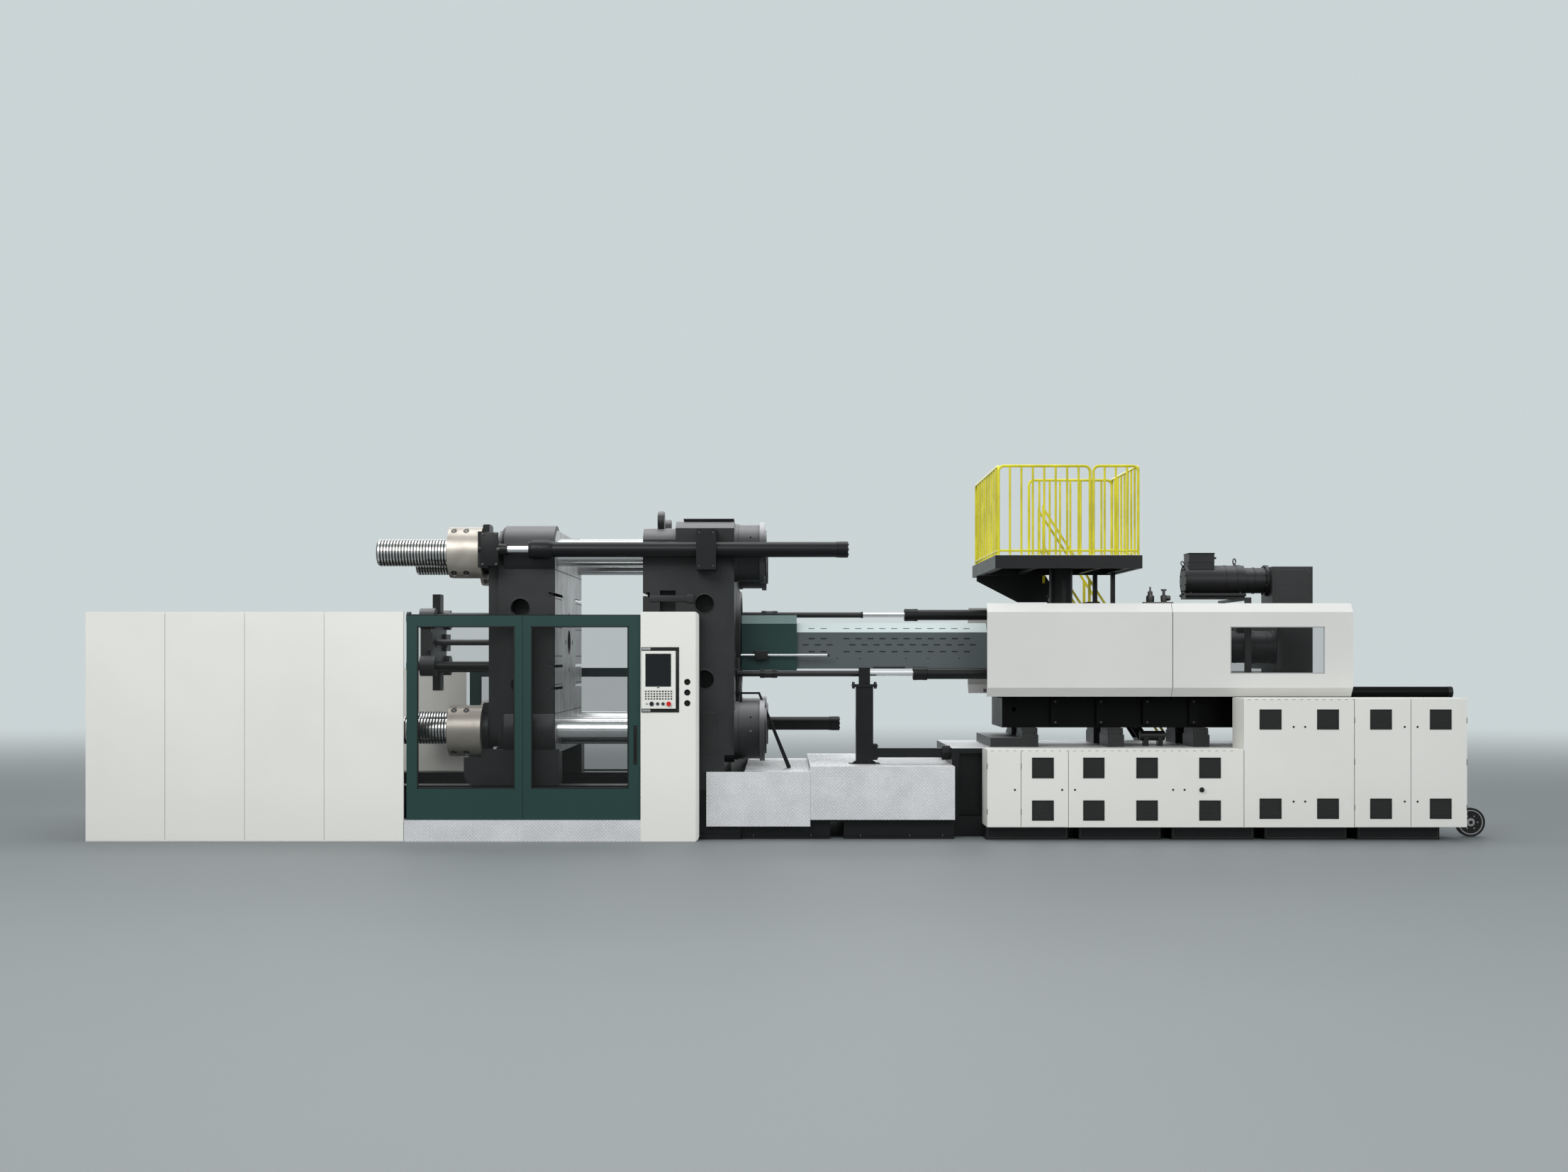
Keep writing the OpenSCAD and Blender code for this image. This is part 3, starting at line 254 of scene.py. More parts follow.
def satinPaint(name, color, roughness=0.4):
    f = Finish(name, color, roughness, Specular_IOR_Level=0.25)
    cloud = f.noise(2.3, 4.0)
    peel = f.noise(190.0, 2.0)
    rub = f.noise(11.0, 5.0, 0.7).step(0.64, 0.82)
    tone = f.mix(cloud.step(0.3, 0.7), shade(color, 0.85), shade(color, 1.2))
    f.set("Base Color", f.mix(rub * 0.3, tone, shade(color, 1.9)))
    f.set("Roughness", cloud * 0.12 + rub * 0.08 + (roughness - 0.08))
    f.bump(peel, 0.0007, 0.4)
    return f


rodPaintEnd = 0.93


def hardChrome(name, paintedUpTo=None):  # paintedUpTo: the rod is painted black to the left of this place
    f = Finish(name, tones["chrome"], 0.1, 1.0)
    hone = f.noise(1.0, 3.0, 0.6, f.stretch((260.0, 3.0, 3.0)))
    oil = f.noise(2.2, 4.0)
    bright = f.mix(oil.step(0.45, 0.75), tones["chrome"], tones["chromeOiled"])
    if paintedUpTo is None:
        f.set("Base Color", bright)
        f.set("Roughness", hone * 0.09 + oil * 0.07 + 0.05)
    else:
        x, y, z = f.axes()
        bare = x > paintedUpTo
        f.set("Base Color", f.mix(bare, tones["frameBlack"], bright))
        f.set("Metallic", bare)
        f.set("Roughness", (hone * 0.09 + oil * 0.07 + 0.05) * bare + (oil * 0.1 + 0.36) * (1 - bare))
    f.bump(hone, 0.0002, 0.4)
    return f


bars = {"y": 1.19, "z": 1.09, "axis": 2.4, "grooveRadius": 0.1635}


def groovedChrome(name):  # ground bars whose turned locking grooves hold oil and shade
    f = Finish(name, tones["barChrome"], 0.16, 1.0)
    x, y, z = f.axes()
    off = abs(y) - bars["y"]
    up = abs(z - bars["axis"]) - bars["z"]
    deep = (off * off + up * up).calc("SQRT") < bars["grooveRadius"]
    hone = f.noise(1.0, 3.0, 0.6, f.stretch((240.0, 3.0, 3.0)))
    oil = f.noise(2.2, 4.0)
    bright = f.mix(oil.step(0.45, 0.75), tones["barChrome"], tones["barOiled"])
    f.set("Base Color", f.mix(deep, bright, tones["grooveShade"]))
    f.set("Roughness", hone * 0.1 + oil * 0.08 + deep * 0.25 + 0.08)
    f.bump(hone, 0.0002, 0.4)
    return f


def turnedSteel(name, color, roughness=0.3, metallic=1.0):
    f = Finish(name, color, roughness, metallic)
    feed = f.noise(1.0, 4.0, 0.7, f.stretch((420.0, 2.0, 2.0)))
    stain = f.noise(5.0, 4.0)
    f.set("Base Color", f.mix(stain.step(0.4, 0.72), color, shade(color, 0.8)))
    f.set("Roughness", feed * 0.16 + stain * 0.1 + (roughness - 0.1))
    f.bump(feed, 0.0004, 0.6)
    return f


checkerPitch = 0.044


def checkerPlate(name, color):
    f = Finish(name, color, 0.34, 0.45)
    x, y, z = f.axes()
    nx, ny, nz = f.facing()
    flat = abs(nz) > 0.5  # pattern runs on the faces people step on and on the sides alike
    side = abs(ny) > 0.5
    across = x + y * flat
    up = z * (1 - flat) + (y - x) * flat
    acrossSide = x * side + y * (1 - side)
    u = across * flat + acrossSide * (1 - flat)
    a = (u + up) / checkerPitch
    b = (u - up) / checkerPitch
    first = abs(a.part() - 0.5)
    second = abs(b.part() - 0.5)
    which = ((a.calc("FLOOR") + b.calc("FLOOR")) * 0.5).part() > 0.25
    tearA = (1 - first.step(0.10, 0.17)) * (1 - second.step(0.36, 0.44))
    tearB = (1 - second.step(0.10, 0.17)) * (1 - first.step(0.36, 0.44))
    tear = tearA * which + tearB * (1 - which)
    dirt = f.noise(3.0, 4.0)
    grain = f.noise(120.0, 2.0)
    tone = f.mix(dirt.step(0.3, 0.7), shade(color, 0.80), shade(color, 0.94))
    f.set("Base Color", f.mix(tear, tone, shade(color, 1.22)))
    f.set("Roughness", 0.42 - tear * 0.16 + grain * 0.08 + dirt * 0.06)
    f.bump(tear, 0.003, 1.0)
    return f


def clearSheet(name, color, alpha):
    f = Finish(name, color, 0.05, Alpha=alpha, Specular_IOR_Level=0.2)
    haze = f.noise(3.0, 4.0)
    f.set("Roughness", haze * 0.04 + 0.02)
    f.mat.surface_render_method = "BLENDED"
    return f


def moulded(name, color, roughness=0.35):
    f = Finish(name, color, roughness, Specular_IOR_Level=0.3)
    grain = f.noise(600.0, 2.0)
    cloud = f.noise(9.0, 3.0)
    f.set("Roughness", cloud * 0.1 + (roughness - 0.05))
    f.bump(grain, 0.0004, 0.4)
    return f


white = powderCoat("cover_white", tones["coverWhite"])
fairingWhite = powderCoat("fairing_white", tones["fairingWhite"], 0.4, 0.0)
green = powderCoat("guard_green", tones["guardGreen"], 0.38, 0.2)
nozzleGreen = powderCoat("nozzle_green", tones["guardGreen"], 0.38, 0.0, tones["nozzleSlopeLit"])
grey = powderCoat("guard_grey", tones["guardGrey"], 0.42, 0.0, tones["guardSlopeLit"])
cast = castPaint("cast_black", tones["castBlack"])
fixedCast = castPaint("fixed_platen_casting", tones["castBlack"], 1.0, mouldFace["fixed"])
movingCast = castPaint("moving_platen_casting", tones["castBlack"], 1.0, mouldFace["moving"])
black = satinPaint("frame_black", tones["frameBlack"])
capGrey = castPaint("cap_grey", shade(tones["castBlack"], 2.6), 0.8)
beamPaint = satinPaint("beam_black", tones["beamBlack"])
beamPaint.set("Specular IOR Level", 0.08)
motorPaint = castPaint("motor_black", tones["motorBlack"], 0.6)
yellow = satinPaint("rail_yellow", tones["railYellow"], 0.3)
chrome = hardChrome("steel_polished")
barChrome = groovedChrome("tie_bar_chrome")
rodChrome = hardChrome("carriage_rod_chrome", rodPaintEnd)
steel = turnedSteel("steel_brushed", tones["brushedSteel"], 0.34, 0.5)
darkSteel = turnedSteel("steel_dark", tones["darkSteel"], 0.4)
treads = checkerPlate("tread_plate", tones["treadPlate"])
clear = clearSheet("window_clear", tones["window"], 0.15)
rubber = moulded("rubber_black", tones["rubber"], 0.7)
redPlastic = moulded("button_red", tones["stopRed"], 0.25)
blackPlastic = moulded("button_black", tones["plasticBlack"], 0.4)
greyPlastic = moulded("grey_plastic", tones["plasticGrey"], 0.45)
ventDark = moulded("vent_dark", tones["ventBlack"], 0.6)
screen = moulded("screen_dark", tones["screen"], 0.1)

nodeFinish = {
    white: ["front_covers", "back_covers", "control_column", "control_panel", "low_cabinet", "high_cabinet",
            "cabinet_door_1", "cabinet_door_2", "cabinet_door_3", "cabinet_door_4"],
    fairingWhite: ["fairing_front", "fairing_rear"],
    green: ["operator_door", "back_door"],
    nozzleGreen: ["nozzle_guard"],
    grey: ["barrel_guard"],
    fixedCast: ["fixed_platen"],
    movingCast: ["moving_platen"],
    cast: ["clamp_cylinders", "platen_shoes", "ejector_plate", "pedestals", "gearbox"],
    capGrey: ["cylinder_caps"],
    beamPaint: ["injection_beam"],
    motorPaint: ["drive_motors"],
    black: ["clamp_base", "traverse_cylinders", "cylinder_brackets", "mid_base", "carriage_post",
            "platen_brace", "injection_base", "service_cylinders", "nut_housings", "rod_brackets",
            "ejector_guides", "carriage_cylinders", "platform_deck", "platform_supports", "platform_stairs"],
    barChrome: ["tie_bars"],
    chrome: ["guard_rails", "traverse_rods", "screw"],
    rodChrome: ["carriage_rods"],
    steel: ["half_nuts_front", "half_nuts_back", "barrel"],
    treads: ["tread_boxes", "door_skirt"],
    yellow: ["platform_railing"],
    clear: ["door_windows", "back_door_window", "fairing_window"],
    rubber: ["wheel"],
    redPlastic: ["emergency_stop"],
    blackPlastic: ["mode_knob", "start_button", "stop_button"],
}
for finish, names in nodeFinish.items():
    for name in names:
        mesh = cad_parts[name].data
        mesh.materials.clear()
        mesh.materials.append(finish.mat)
print("finishes done")


class Shape:  # gathers worked parts and becomes one piece
    def __init__(self):
        self.bm = bmesh.new()

    def take(self, part, bevel=0.0, rounds=2, matrix=None):
        bmesh.ops.recalc_face_normals(part, faces=part.faces)
        if bevel:
            sharp = [e for e in part.edges if len(e.link_faces) == 2 and e.calc_face_angle(0) > 0.6]
            bmesh.ops.bevel(part, geom=sharp, offset=bevel, segments=rounds, affect="EDGES", profile=0.6,
                            clamp_overlap=True)
        if matrix is not None:
            bmesh.ops.transform(part, matrix=matrix, verts=part.verts)
        mesh = bpy.data.meshes.new("part")
        part.to_mesh(mesh)
        part.free()
        self.bm.from_mesh(mesh)
        bpy.data.meshes.remove(mesh)
        return self

    def box(self, low, high, bevel=0.004, rounds=2, matrix=None):
        part = bmesh.new()
        bmesh.ops.create_cube(part, size=1.0)
        size = Vector(high) - Vector(low)
        middle = (Vector(high) + Vector(low)) / 2
        for v in part.verts:
            v.co = Vector((v.co.x * size.x, v.co.y * size.y, v.co.z * size.z)) + middle
        return self.take(part, bevel, rounds, matrix)

    def turned(self, profile, start, axis, segments=32):  # profile: (along, radius) from one end to the other
        part = bmesh.new()
        turn = Vector(axis).normalized().to_track_quat("Z", "Y").to_matrix().to_4x4()
        turn.translation = Vector(start)
        rings = []
        for along, radius in profile:
            steps = [2 * math.pi * i / segments for i in range(segments)] if radius > 0 else [0]
            rings.append([part.verts.new((radius * math.cos(t), radius * math.sin(t), along)) for t in steps])
        for a, b in zip(rings, rings[1:]):
            for i in range(segments):
                j = (i + 1) % segments
                if len(a) == 1 and len(b) == 1:
                    continue
                if len(a) == 1:
                    part.faces.new((a[0], b[j], b[i]))
                elif len(b) == 1:
                    part.faces.new((a[i], a[j], b[0]))
                else:
                    part.faces.new((a[i], a[j], b[j], b[i]))
        return self.take(part, matrix=turn)

    def tube(self, points, radius, segments=12):
        part = bmesh.new()
        pts = [Vector(p) for p in points]
        rings = []
        side = None
        for k, p in enumerate(pts):
            ahead = (pts[min(k + 1, len(pts) - 1)] - pts[max(k - 1, 0)]).normalized()
            if side is None:
                side = ahead.orthogonal().normalized()
            side = (side - ahead * side.dot(ahead)).normalized()
            up = ahead.cross(side)
            steps = [2 * math.pi * i / segments for i in range(segments)]
            ways = [side * math.cos(t) + up * math.sin(t) for t in steps]
            rings.append([part.verts.new(p + way * radius) for way in ways])
        for a, b in zip(rings, rings[1:]):
            for i in range(segments):
                j = (i + 1) % segments
                part.faces.new((a[i], a[j], b[j], b[i]))
        part.faces.new(rings[0])
        part.faces.new(rings[-1])
        return self.take(part)

    def prism(self, outline, start, end, axis="y", bevel=0.003, rounds=2):  # outline in the other two axes
        part = bmesh.new()
        order = {"x": lambda a, b, t: (t, a, b), "y": lambda a, b, t: (a, t, b),
                 "z": lambda a, b, t: (a, b, t)}[axis]
        near = [part.verts.new(order(a, b, start)) for a, b in outline]
        far = [part.verts.new(order(a, b, end)) for a, b in outline]
        part.faces.new(near)
        part.faces.new(far)
        for i in range(len(outline)):
            j = (i + 1) % len(outline)
            part.faces.new((near[i], near[j], far[j], far[i]))
        return self.take(part, bevel, rounds)

    def done(self, name, finish, body, slot=None):  # slot is not used
        mesh = bpy.data.meshes.new(name)
        self.bm.to_mesh(mesh)
        self.bm.free()
        mesh.materials.append(finish.mat)
        mesh.shade_smooth()
        mesh.set_sharp_from_angle(angle=math.radians(32))
        piece = bpy.data.objects.new(name, mesh)
        bpy.context.collection.objects.link(piece)
        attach(piece, body)


def rounded(points, radius, steps=6):  # a path whose corners are bends
    pts = [Vector(p) for p in points]
    path = [pts[0]]
    for before, corner, after in zip(pts, pts[1:], pts[2:]):
        a = (before - corner).normalized()
        b = (after - corner).normalized()
        reach = min(radius / math.tan(a.angle(b) / 2) if a.angle(b) > 0.01 else 0,
                    (before - corner).length * 0.48, (after - corner).length * 0.48)
        start, end = corner + a * reach, corner + b * reach
        for i in range(steps + 1):
            t = i / steps
            path.append(start * (1 - t) ** 2 + corner * 2 * t * (1 - t) + end * t ** 2)
    path.append(pts[-1])
    return path


def roundedRect(x0, x1, z0, z1, radius, steps=5):
    outline = []
    for cx, cz, turn in ((x1 - radius, z1 - radius, 0), (x0 + radius, z1 - radius, 90),
                         (x0 + radius, z0 + radius, 180), (x1 - radius, z0 + radius, 270)):
        for i in range(steps + 1):
            a = math.radians(turn + 90 * i / steps)
            outline.append((cx + radius * math.cos(a), cz + radius * math.sin(a)))
    return outline


def rim(x0, x1, z0, z1, wide, inset=0.0):  # four bars round an opening: top, foot, left and right
    return ((x0, x1, z1 - wide, z1), (x0, x1, z0, z0 + wide), (x0, x0 + wide, z0 + inset, z1 - inset),
            (x1 - wide, x1, z0 + inset, z1 - inset))


def ring(count, radius, start=0.0):  # offsets spread evenly round a circle
    turns = [math.radians(start + 360 / count * k) for k in range(count)]
    return [(radius * math.cos(t), radius * math.sin(t)) for t in turns]


def capScrew(shape, place, axis, radius, height, segments=20):  # head with a hex socket
    shape.turned([(0, 0), (0, radius), (height * 0.86, radius), (height, radius * 0.9),
                  (height, radius * 0.56), (height * 0.5, radius * 0.52), (height * 0.5, 0)],
                 place, axis, segments)


def hexBolt(shape, place, axis, radius, height):
    shape.turned([(0, 0), (0, radius * 1.25), (height * 0.2, radius * 1.25), (height * 0.2, radius)],
                 place, axis, 24)
    shape.turned([(height * 0.2, 0), (height * 0.2, radius), (height * 0.9, radius), (height, radius * 0.86),
                  (height, 0)], place, axis, 6)


def quarterLock(shape, place, axis, segments=20):  # head of a cover lock
    shape.turned([(0, 0), (0, 0.0125), (0.003, 0.0125), (0.005, 0.0105), (0.005, 0.006), (0.002, 0.005),
                  (0.002, 0)], place, axis, segments)


def stud(shape, place, axis, radius, height, chamfer, top, segments):  # plain round head
    shape.turned([(0, 0), (0, radius), (height - chamfer, radius), (height, top), (height, 0)],
                 place, axis, segments)


def band(shape, place, inner, outer, width, segments):  # raised collar round a motor
    shape.turned([(0, inner), (0.001, outer), (width, outer), (width + 0.001, inner)],
                 place, (1, 0, 0), segments)


sides = (-1, 1)
barPlaces = [(sy * bars["y"], bars["axis"] + sz * bars["z"], sy, sz) for sy, sz in product(sides, sides)]
traverse = {"y": 1.656, "sides": ((-1, 3.505), (1, 1.295))}
nutDetail = {"screwRadius": 0.0245, "screwAt": (-4.141, -3.991), "open": 0.066, "radius": 0.309, "lean": 55}


def dressNuts():
    d = nutDetail
    lean = math.radians(d["lean"])
    for side, body in zip(sides, ("half_nuts_front", "half_nuts_back")):
        screws = Shape()
        for (y, z, sy, sz), x, up in product(barPlaces, d["screwAt"], sides):
            place = (x, y + side * (0.13 + d["open"]), z + up * 0.2445)
            capScrew(screws, place, (0, 0, up), d["screwRadius"], 0.03)
            out = Vector((0, side * math.cos(lean), up * math.sin(lean)))
            middle = Vector((x, y + side * d["open"], z)) + out * d["radius"]
            screws.turned([(-0.003, 0), (0.0006, 0.012), (0.0006, 0.016), (0.004, 0.02), (0.004, 0.03),
                           (0.001, 0.037), (-0.012, 0.038)], middle, out, 32)
        screws.done(body + "_screws", darkSteel, body)


platenDetail = {
    "keeper": (-3.803, -3.727),
    "housingScrews": (8, 0.225),
    "capScrews": (12, 0.332),
    "rodScrews": ((-1.7295, (-3.742, -3.582)), (1.716, (-3.778, -3.711))),
    "bracketScrews": (-1.145, -0.977),
    "bores": (("fixed_platen_lips", "machine", -1.095, (2.86, 1.94)),
              ("moving_platen_lips", "moving_platen", -3.333, (2.81, 1.876))),
    "bossRadius": 0.335,
    "seatRadius": 0.66,
}


def dressPlatens():
    d = platenDetail
    keepers = Shape()  # small blocks on the nut housings, and their screws
    screws = Shape()
    start, end = d["keeper"]
    count, radius = d["housingScrews"]
    for y, z, sy, sz in barPlaces:
        for low in (z - 0.345, z + 0.33):
            keepers.box((start, y - 0.11, low), (end, y + 0.11, low + 0.015))
        for a, b in ring(count, radius, 22.5):
            capScrew(screws, (end, y + a, z + b), (-1, 0, 0), 0.016, 0.02)
    keepers.done("nut_housing_keepers", black, "moving_platen")
    for (sy, z), (y, places) in zip(traverse["sides"], d["rodScrews"]):
        for x, dz in product(places, (-0.178, 0.178)):
            capScrew(screws, (x, y, z + dz), (0, sy, 0), 0.016, 0.014)
        stud(screws, (-3.56, sy * 1.722, z), (0, sy, 0), 0.02, 0.014, 0.002, 0.012, 20)
    screws.done("moving_platen_screws", darkSteel, "moving_platen")
    Shape().box((-1.357, -1.3, 3.8785), (-0.74, -1.02, 3.905)).done("platen_top_plate", black, "machine")
    bolts = Shape()
    for (sy, z), x, dz in product(traverse["sides"], d["bracketScrews"], (-0.2, 0.2)):
        capScrew(bolts, (x, sy * 1.7752, z + dz), (0, sy, 0), 0.0145, 0.013)
    count, radius = d["capScrews"]
    for y, z, sy, sz in barPlaces:
        for a, b in ring(count, radius):
            capScrew(bolts, (-0.395, y + a, z + b), (1, 0, 0), 0.0155, 0.022)
        stud(bolts, (-0.53, y + sy * 0.345, z), (0, sy, 0), 0.017, 0.008, 0.002, 0.012, 18)
    bolts.done("clamp_cylinder_bolts", darkSteel, "machine")
    for name, body, x, heights in d["bores"]:
        lips = Shape()  # lip round each side bore
        for sy, z in product(sides, heights):
            lips.turned([(0, 0.112), (0, 0.124), (0.004, 0.124), (0.007, 0.12), (0.007, 0.113), (0, 0.112)],
                        (x, sy * 1.45, z), (0, sy, 0), 48)
        lips.done(name, cast, body)
    bosses = Shape()  # fuller ends of the bar bosses
    full = d["bossRadius"]
    for y, z, sy, sz in barPlaces:
        bosses.turned([(0, 0.27), (0, full - 0.03), (0.035, full), (0.64, full), (0.645, full - 0.005),
                       (0.645, 0.27)], (-3.558, y, z), (1, 0, 0), 72)
    bosses.done("moving_platen_bosses", cast, "moving_platen")
    plate = Shape().box((-3.768, -1.7295, 3.302), (-3.556, -1.704, 3.708), 0.006)
    plate.done("rod_bracket_plate", black, "moving_platen")
    sy, z = traverse["sides"][0]
    gland = Shape()  # head of the front traverse cylinder
    gland.turned([(0, 0.09), (0, 0.108), (0.012, 0.118), (0.20, 0.118), (0.262, 0.102), (0.262, 0.09)],
                 (-3.172, sy * traverse["y"], z), (1, 0, 0), 56)
    gland.turned([(0, 0), (0, 0.018), (0.004, 0.018), (0.004, 0.011), (0.001, 0.011), (0.001, 0)],
                 (-3.09, -1.7735, z), (0, -1, 0), 24)
    gland.done("traverse_cylinder_gland", black, "machine")
    back = Shape()  # seat of the nozzle opening, and the ribs below it
    full = d["seatRadius"]
    back.turned([(-0.01, 0.585), (-0.01, full), (0.05, full), (0.066, full - 0.016), (0.066, 0.6),
                 (0.05, 0.585)], (-0.7395, 0, 2.4), (1, 0, 0), 96)
    for low in (-full, full - 0.06):
        back.box((-0.745, low, 1.3), (-0.683, low + 0.06, 2.2), 0.012)
    back.done("fixed_platen_back_seat", cast, "machine")
    side = Shape()  # latch bar and cover plate on the operator side of the fixed platen
    side.box((-1.76, -1.468, 2.885), (-1.3, -1.449, 2.96))
    side.box((-1.31, -1.474, 2.87), (-1.22, -1.449, 2.972), 0.006)
    side.box((-1.295, -1.477, 2.885), (-1.235, -1.473, 2.957), 0.002, 1)
    side.box((-1.14, -1.4535, 1.02), (-0.94, -1.4495, 1.545), 0.0015, 1)
    side.done("fixed_platen_side_plates", cast, "machine")
    caps = Shape()
    for sy, z in traverse["sides"]:
        y = sy * traverse["y"]
        caps.turned([(0, 0.09), (0, 0.0985), (0.014, 0.0985), (0.018, 0.094), (0.018, 0.09)],
                    (0.50, y, z), (1, 0, 0), 40)
        for a, b in ring(6, 0.07):
            capScrew(caps, (0.641, y + a, z + b), (1, 0, 0), 0.009, 0.009)
        for x in (-3.17, -2.95):
            caps.turned([(0, 0.1035), (0, 0.1075), (0.008, 0.1075), (0.008, 0.1035)],
                        (x, y, z), (1, 0, 0), 40)
    caps.done("traverse_cylinder_rings", black, "machine")


coverDetail = {"count": 4, "left": -8.505, "pitch": 0.954, "joint": 0.004, "height": (0.022, 2.72)}


def dressCovers():
    d = coverDetail
    gaps = Shape()  # joints between the covers along the operator side
    for i in range(1, d["count"]):
        x = d["left"] + i * d["pitch"]
        gaps.box((x - d["joint"], -1.7275, d["height"][0]), (x, -1.7245, d["height"][1]), 0, 1)
    gaps.done("cover_gaps", ventDark, "machine")


doorDetail = {"windows": ((-4.534, -3.369), (-3.164, -1.999)), "height": (0.636, 2.58), "front": -1.692,
              "lap": 0.004, "grip": (-1.916, 0.965, 1.343)}


def dressDoors():
    seal = Shape()
    y = doorDetail["front"]
    z0, z1 = doorDetail["height"]
    lap = doorDetail["lap"]
    for x0, x1 in doorDetail["windows"]:
        for a, b, c, d in rim(x0 - lap, x1 + lap, z0 - lap, z1 + lap, 0.016, lap):
            seal.box((a, y - 0.003, c), (b, y + 0.021, d), 0.0015, 1)
    seal.done("door_window_seals", blackPlastic, "operator_door")
    grip = Shape()
    grip.prism(roundedRect(-1.938, -1.894, 0.92, 1.388, 0.02), y - 0.0035, y + 0.002, "y", 0.0015, 1)
    x, low, high = doorDetail["grip"]
    path = [(x, y + 0.02, low), (x, y - 0.005, low), (x, y - 0.005, high), (x, y + 0.02, high)]
    grip.tube(rounded(path, 0.012), 0.008, 10)
    grip.done("door_grip", blackPlastic, "operator_door")
    seam = Shape()  # joint between the two leaves
    seam.box((-3.2685, y - 0.0012, 0.275), (-3.2645, y + 0.001, 2.705), 0, 1)
    seam.done("door_leaf_seam", ventDark, "operator_door")
    rail = Shape()  # top runner of the sliding door
    rail.box((-4.665, y + 0.012, 2.7105), (-1.855, y + 0.038, 2.7215), 0.002, 1)
    rail.done("door_top_runner", black, "operator_door")


panelDetail = {
    "x0": -1.841, "x1": -1.386, "z0": 1.548, "z1": 2.332,
    "keys": (10, 4), "keyPitch": (0.034, 0.03), "keyStart": 1.704, "marked": 0.6,
    "buttonRings": ((-1.714, 0.022), (-1.642, 0.014), (-1.578, 0.014), (-1.508, 0.018)), "buttonsAt": 1.652,
    "ports": (1.658, 1.786, 1.913), "bezel": (-1.789, -1.481), "face": -1.7638,
}


def dressPanel():
    d = panelDetail
    surround = Shape()
    right = d["x1"] - 0.001
    for left, low, high in ((d["x0"] + 0.001, d["z0"] + 0.001, d["z0"] + 0.046),
                            (d["x0"] + 0.001, d["z1"] - 0.046, d["z1"] - 0.001),
                            (d["x1"] - 0.037, d["z0"] + 0.04, d["z1"] - 0.04)):
        surround.box((left, -1.739, low), (right, -1.7315, high), 0.003)
    surround.done("panel_frame", blackPlastic, "machine")
    hinges = Shape()
    for z in (d["z0"] + 0.023, d["z1"] - 0.023):
        for k in range(3):
            x = d["x0"] + 0.012 + k * 0.034
            hinges.box((x, -1.752, z - 0.016), (x + 0.03, -1.738, z + 0.016))
        hinges.turned([(0, 0), (0, 0.008), (0.104, 0.008), (0.104, 0)], (d["x0"] + 0.01, -1.75, z), (1, 0, 0),
                      16)
    hinges.done("panel_hinges", greyPlastic, "machine")
    face = Shape()
    face.prism(roundedRect(-1.783, -1.487, 1.863, 2.246, 0.01), -1.7572, -1.7566, "y", 0, 1)
    face.done("panel_screen", screen, "machine")
    bezel = Shape()
    left, right = d["bezel"]
    for x0, x1, z0, z1 in ((left, right, 2.243, 2.252), (left, right, 1.857, 1.866),
                           (left, -1.78, 1.86, 2.25), (-1.49, right, 1.86, 2.25)):
        bezel.box((x0, -1.7665, z0), (x1, -1.757, z1), 0.002)
    bezel.box((-1.65, -1.7675, 1.842), (-1.62, d["face"], 1.852), 0.002)
    bezel.done("panel_bezel", blackPlastic, "machine")
    keys = Shape()
    marks = Shape()
    rng = random.Random(7)
    for i, j in product(range(d["keys"][0]), range(d["keys"][1])):
        x = d["x0"] + 0.047 + i * d["keyPitch"][0]
        z = d["keyStart"] + j * d["keyPitch"][1]
        keys.box((x - 0.0005, -1.7685, z - 0.0005), (x + 0.0205, -1.7668, z + 0.0165), 0.002)
        if rng.random() < d["marked"]:
            marks.box((x + 0.006, -1.769, z + 0.006), (x + 0.014, -1.7684, z + 0.0095), 0.0003, 1)
    keys.done("panel_keys", blackPlastic, "machine")
    marks.done("panel_key_marks", white, "machine")
    rings = Shape()
    for x, r in d["buttonRings"]:
        rings.turned([(0, r + 0.001), (0, r + 0.009), (0.003, r + 0.009), (0.005, r + 0.006),
                      (0.005, r + 0.001)], (x, d["face"], d["buttonsAt"]), (0, -1, 0), 32)
    stud(rings, (-1.772, d["face"], d["buttonsAt"]), (0, -1, 0), 0.012, 0.008, 0.002, 0.009, 24)
    rings.done("panel_button_rings", greyPlastic, "machine")
    ports = Shape()
    for z in d["ports"]:
        ports.turned([(0.025, 0), (0.025, 0.02), (0.006, 0.024), (0.0, 0.027), (-0.003, 0.031),
                      (-0.003, 0.036), (0.0, 0.038)], (-1.289, -1.73, z), (0, 1, 0), 32)
    ports.done("column_ports", blackPlastic, "machine")


guardDetail = {
    "slot": 0.08, "pitch": 0.153, "rows": ((2.446, 0.0), (2.367, 0.5), (2.281, 0.0)), "span": (0.1, 2.36),
    "runs": ((0.07, 3), (0.664, 11)), "slope": (0.12, 0.168), "rivets": (0.55, 0.84, 1.42, 1.7, 2.1),
    "railY": 0.59, "skin": (0.4495, 0.4512),
}


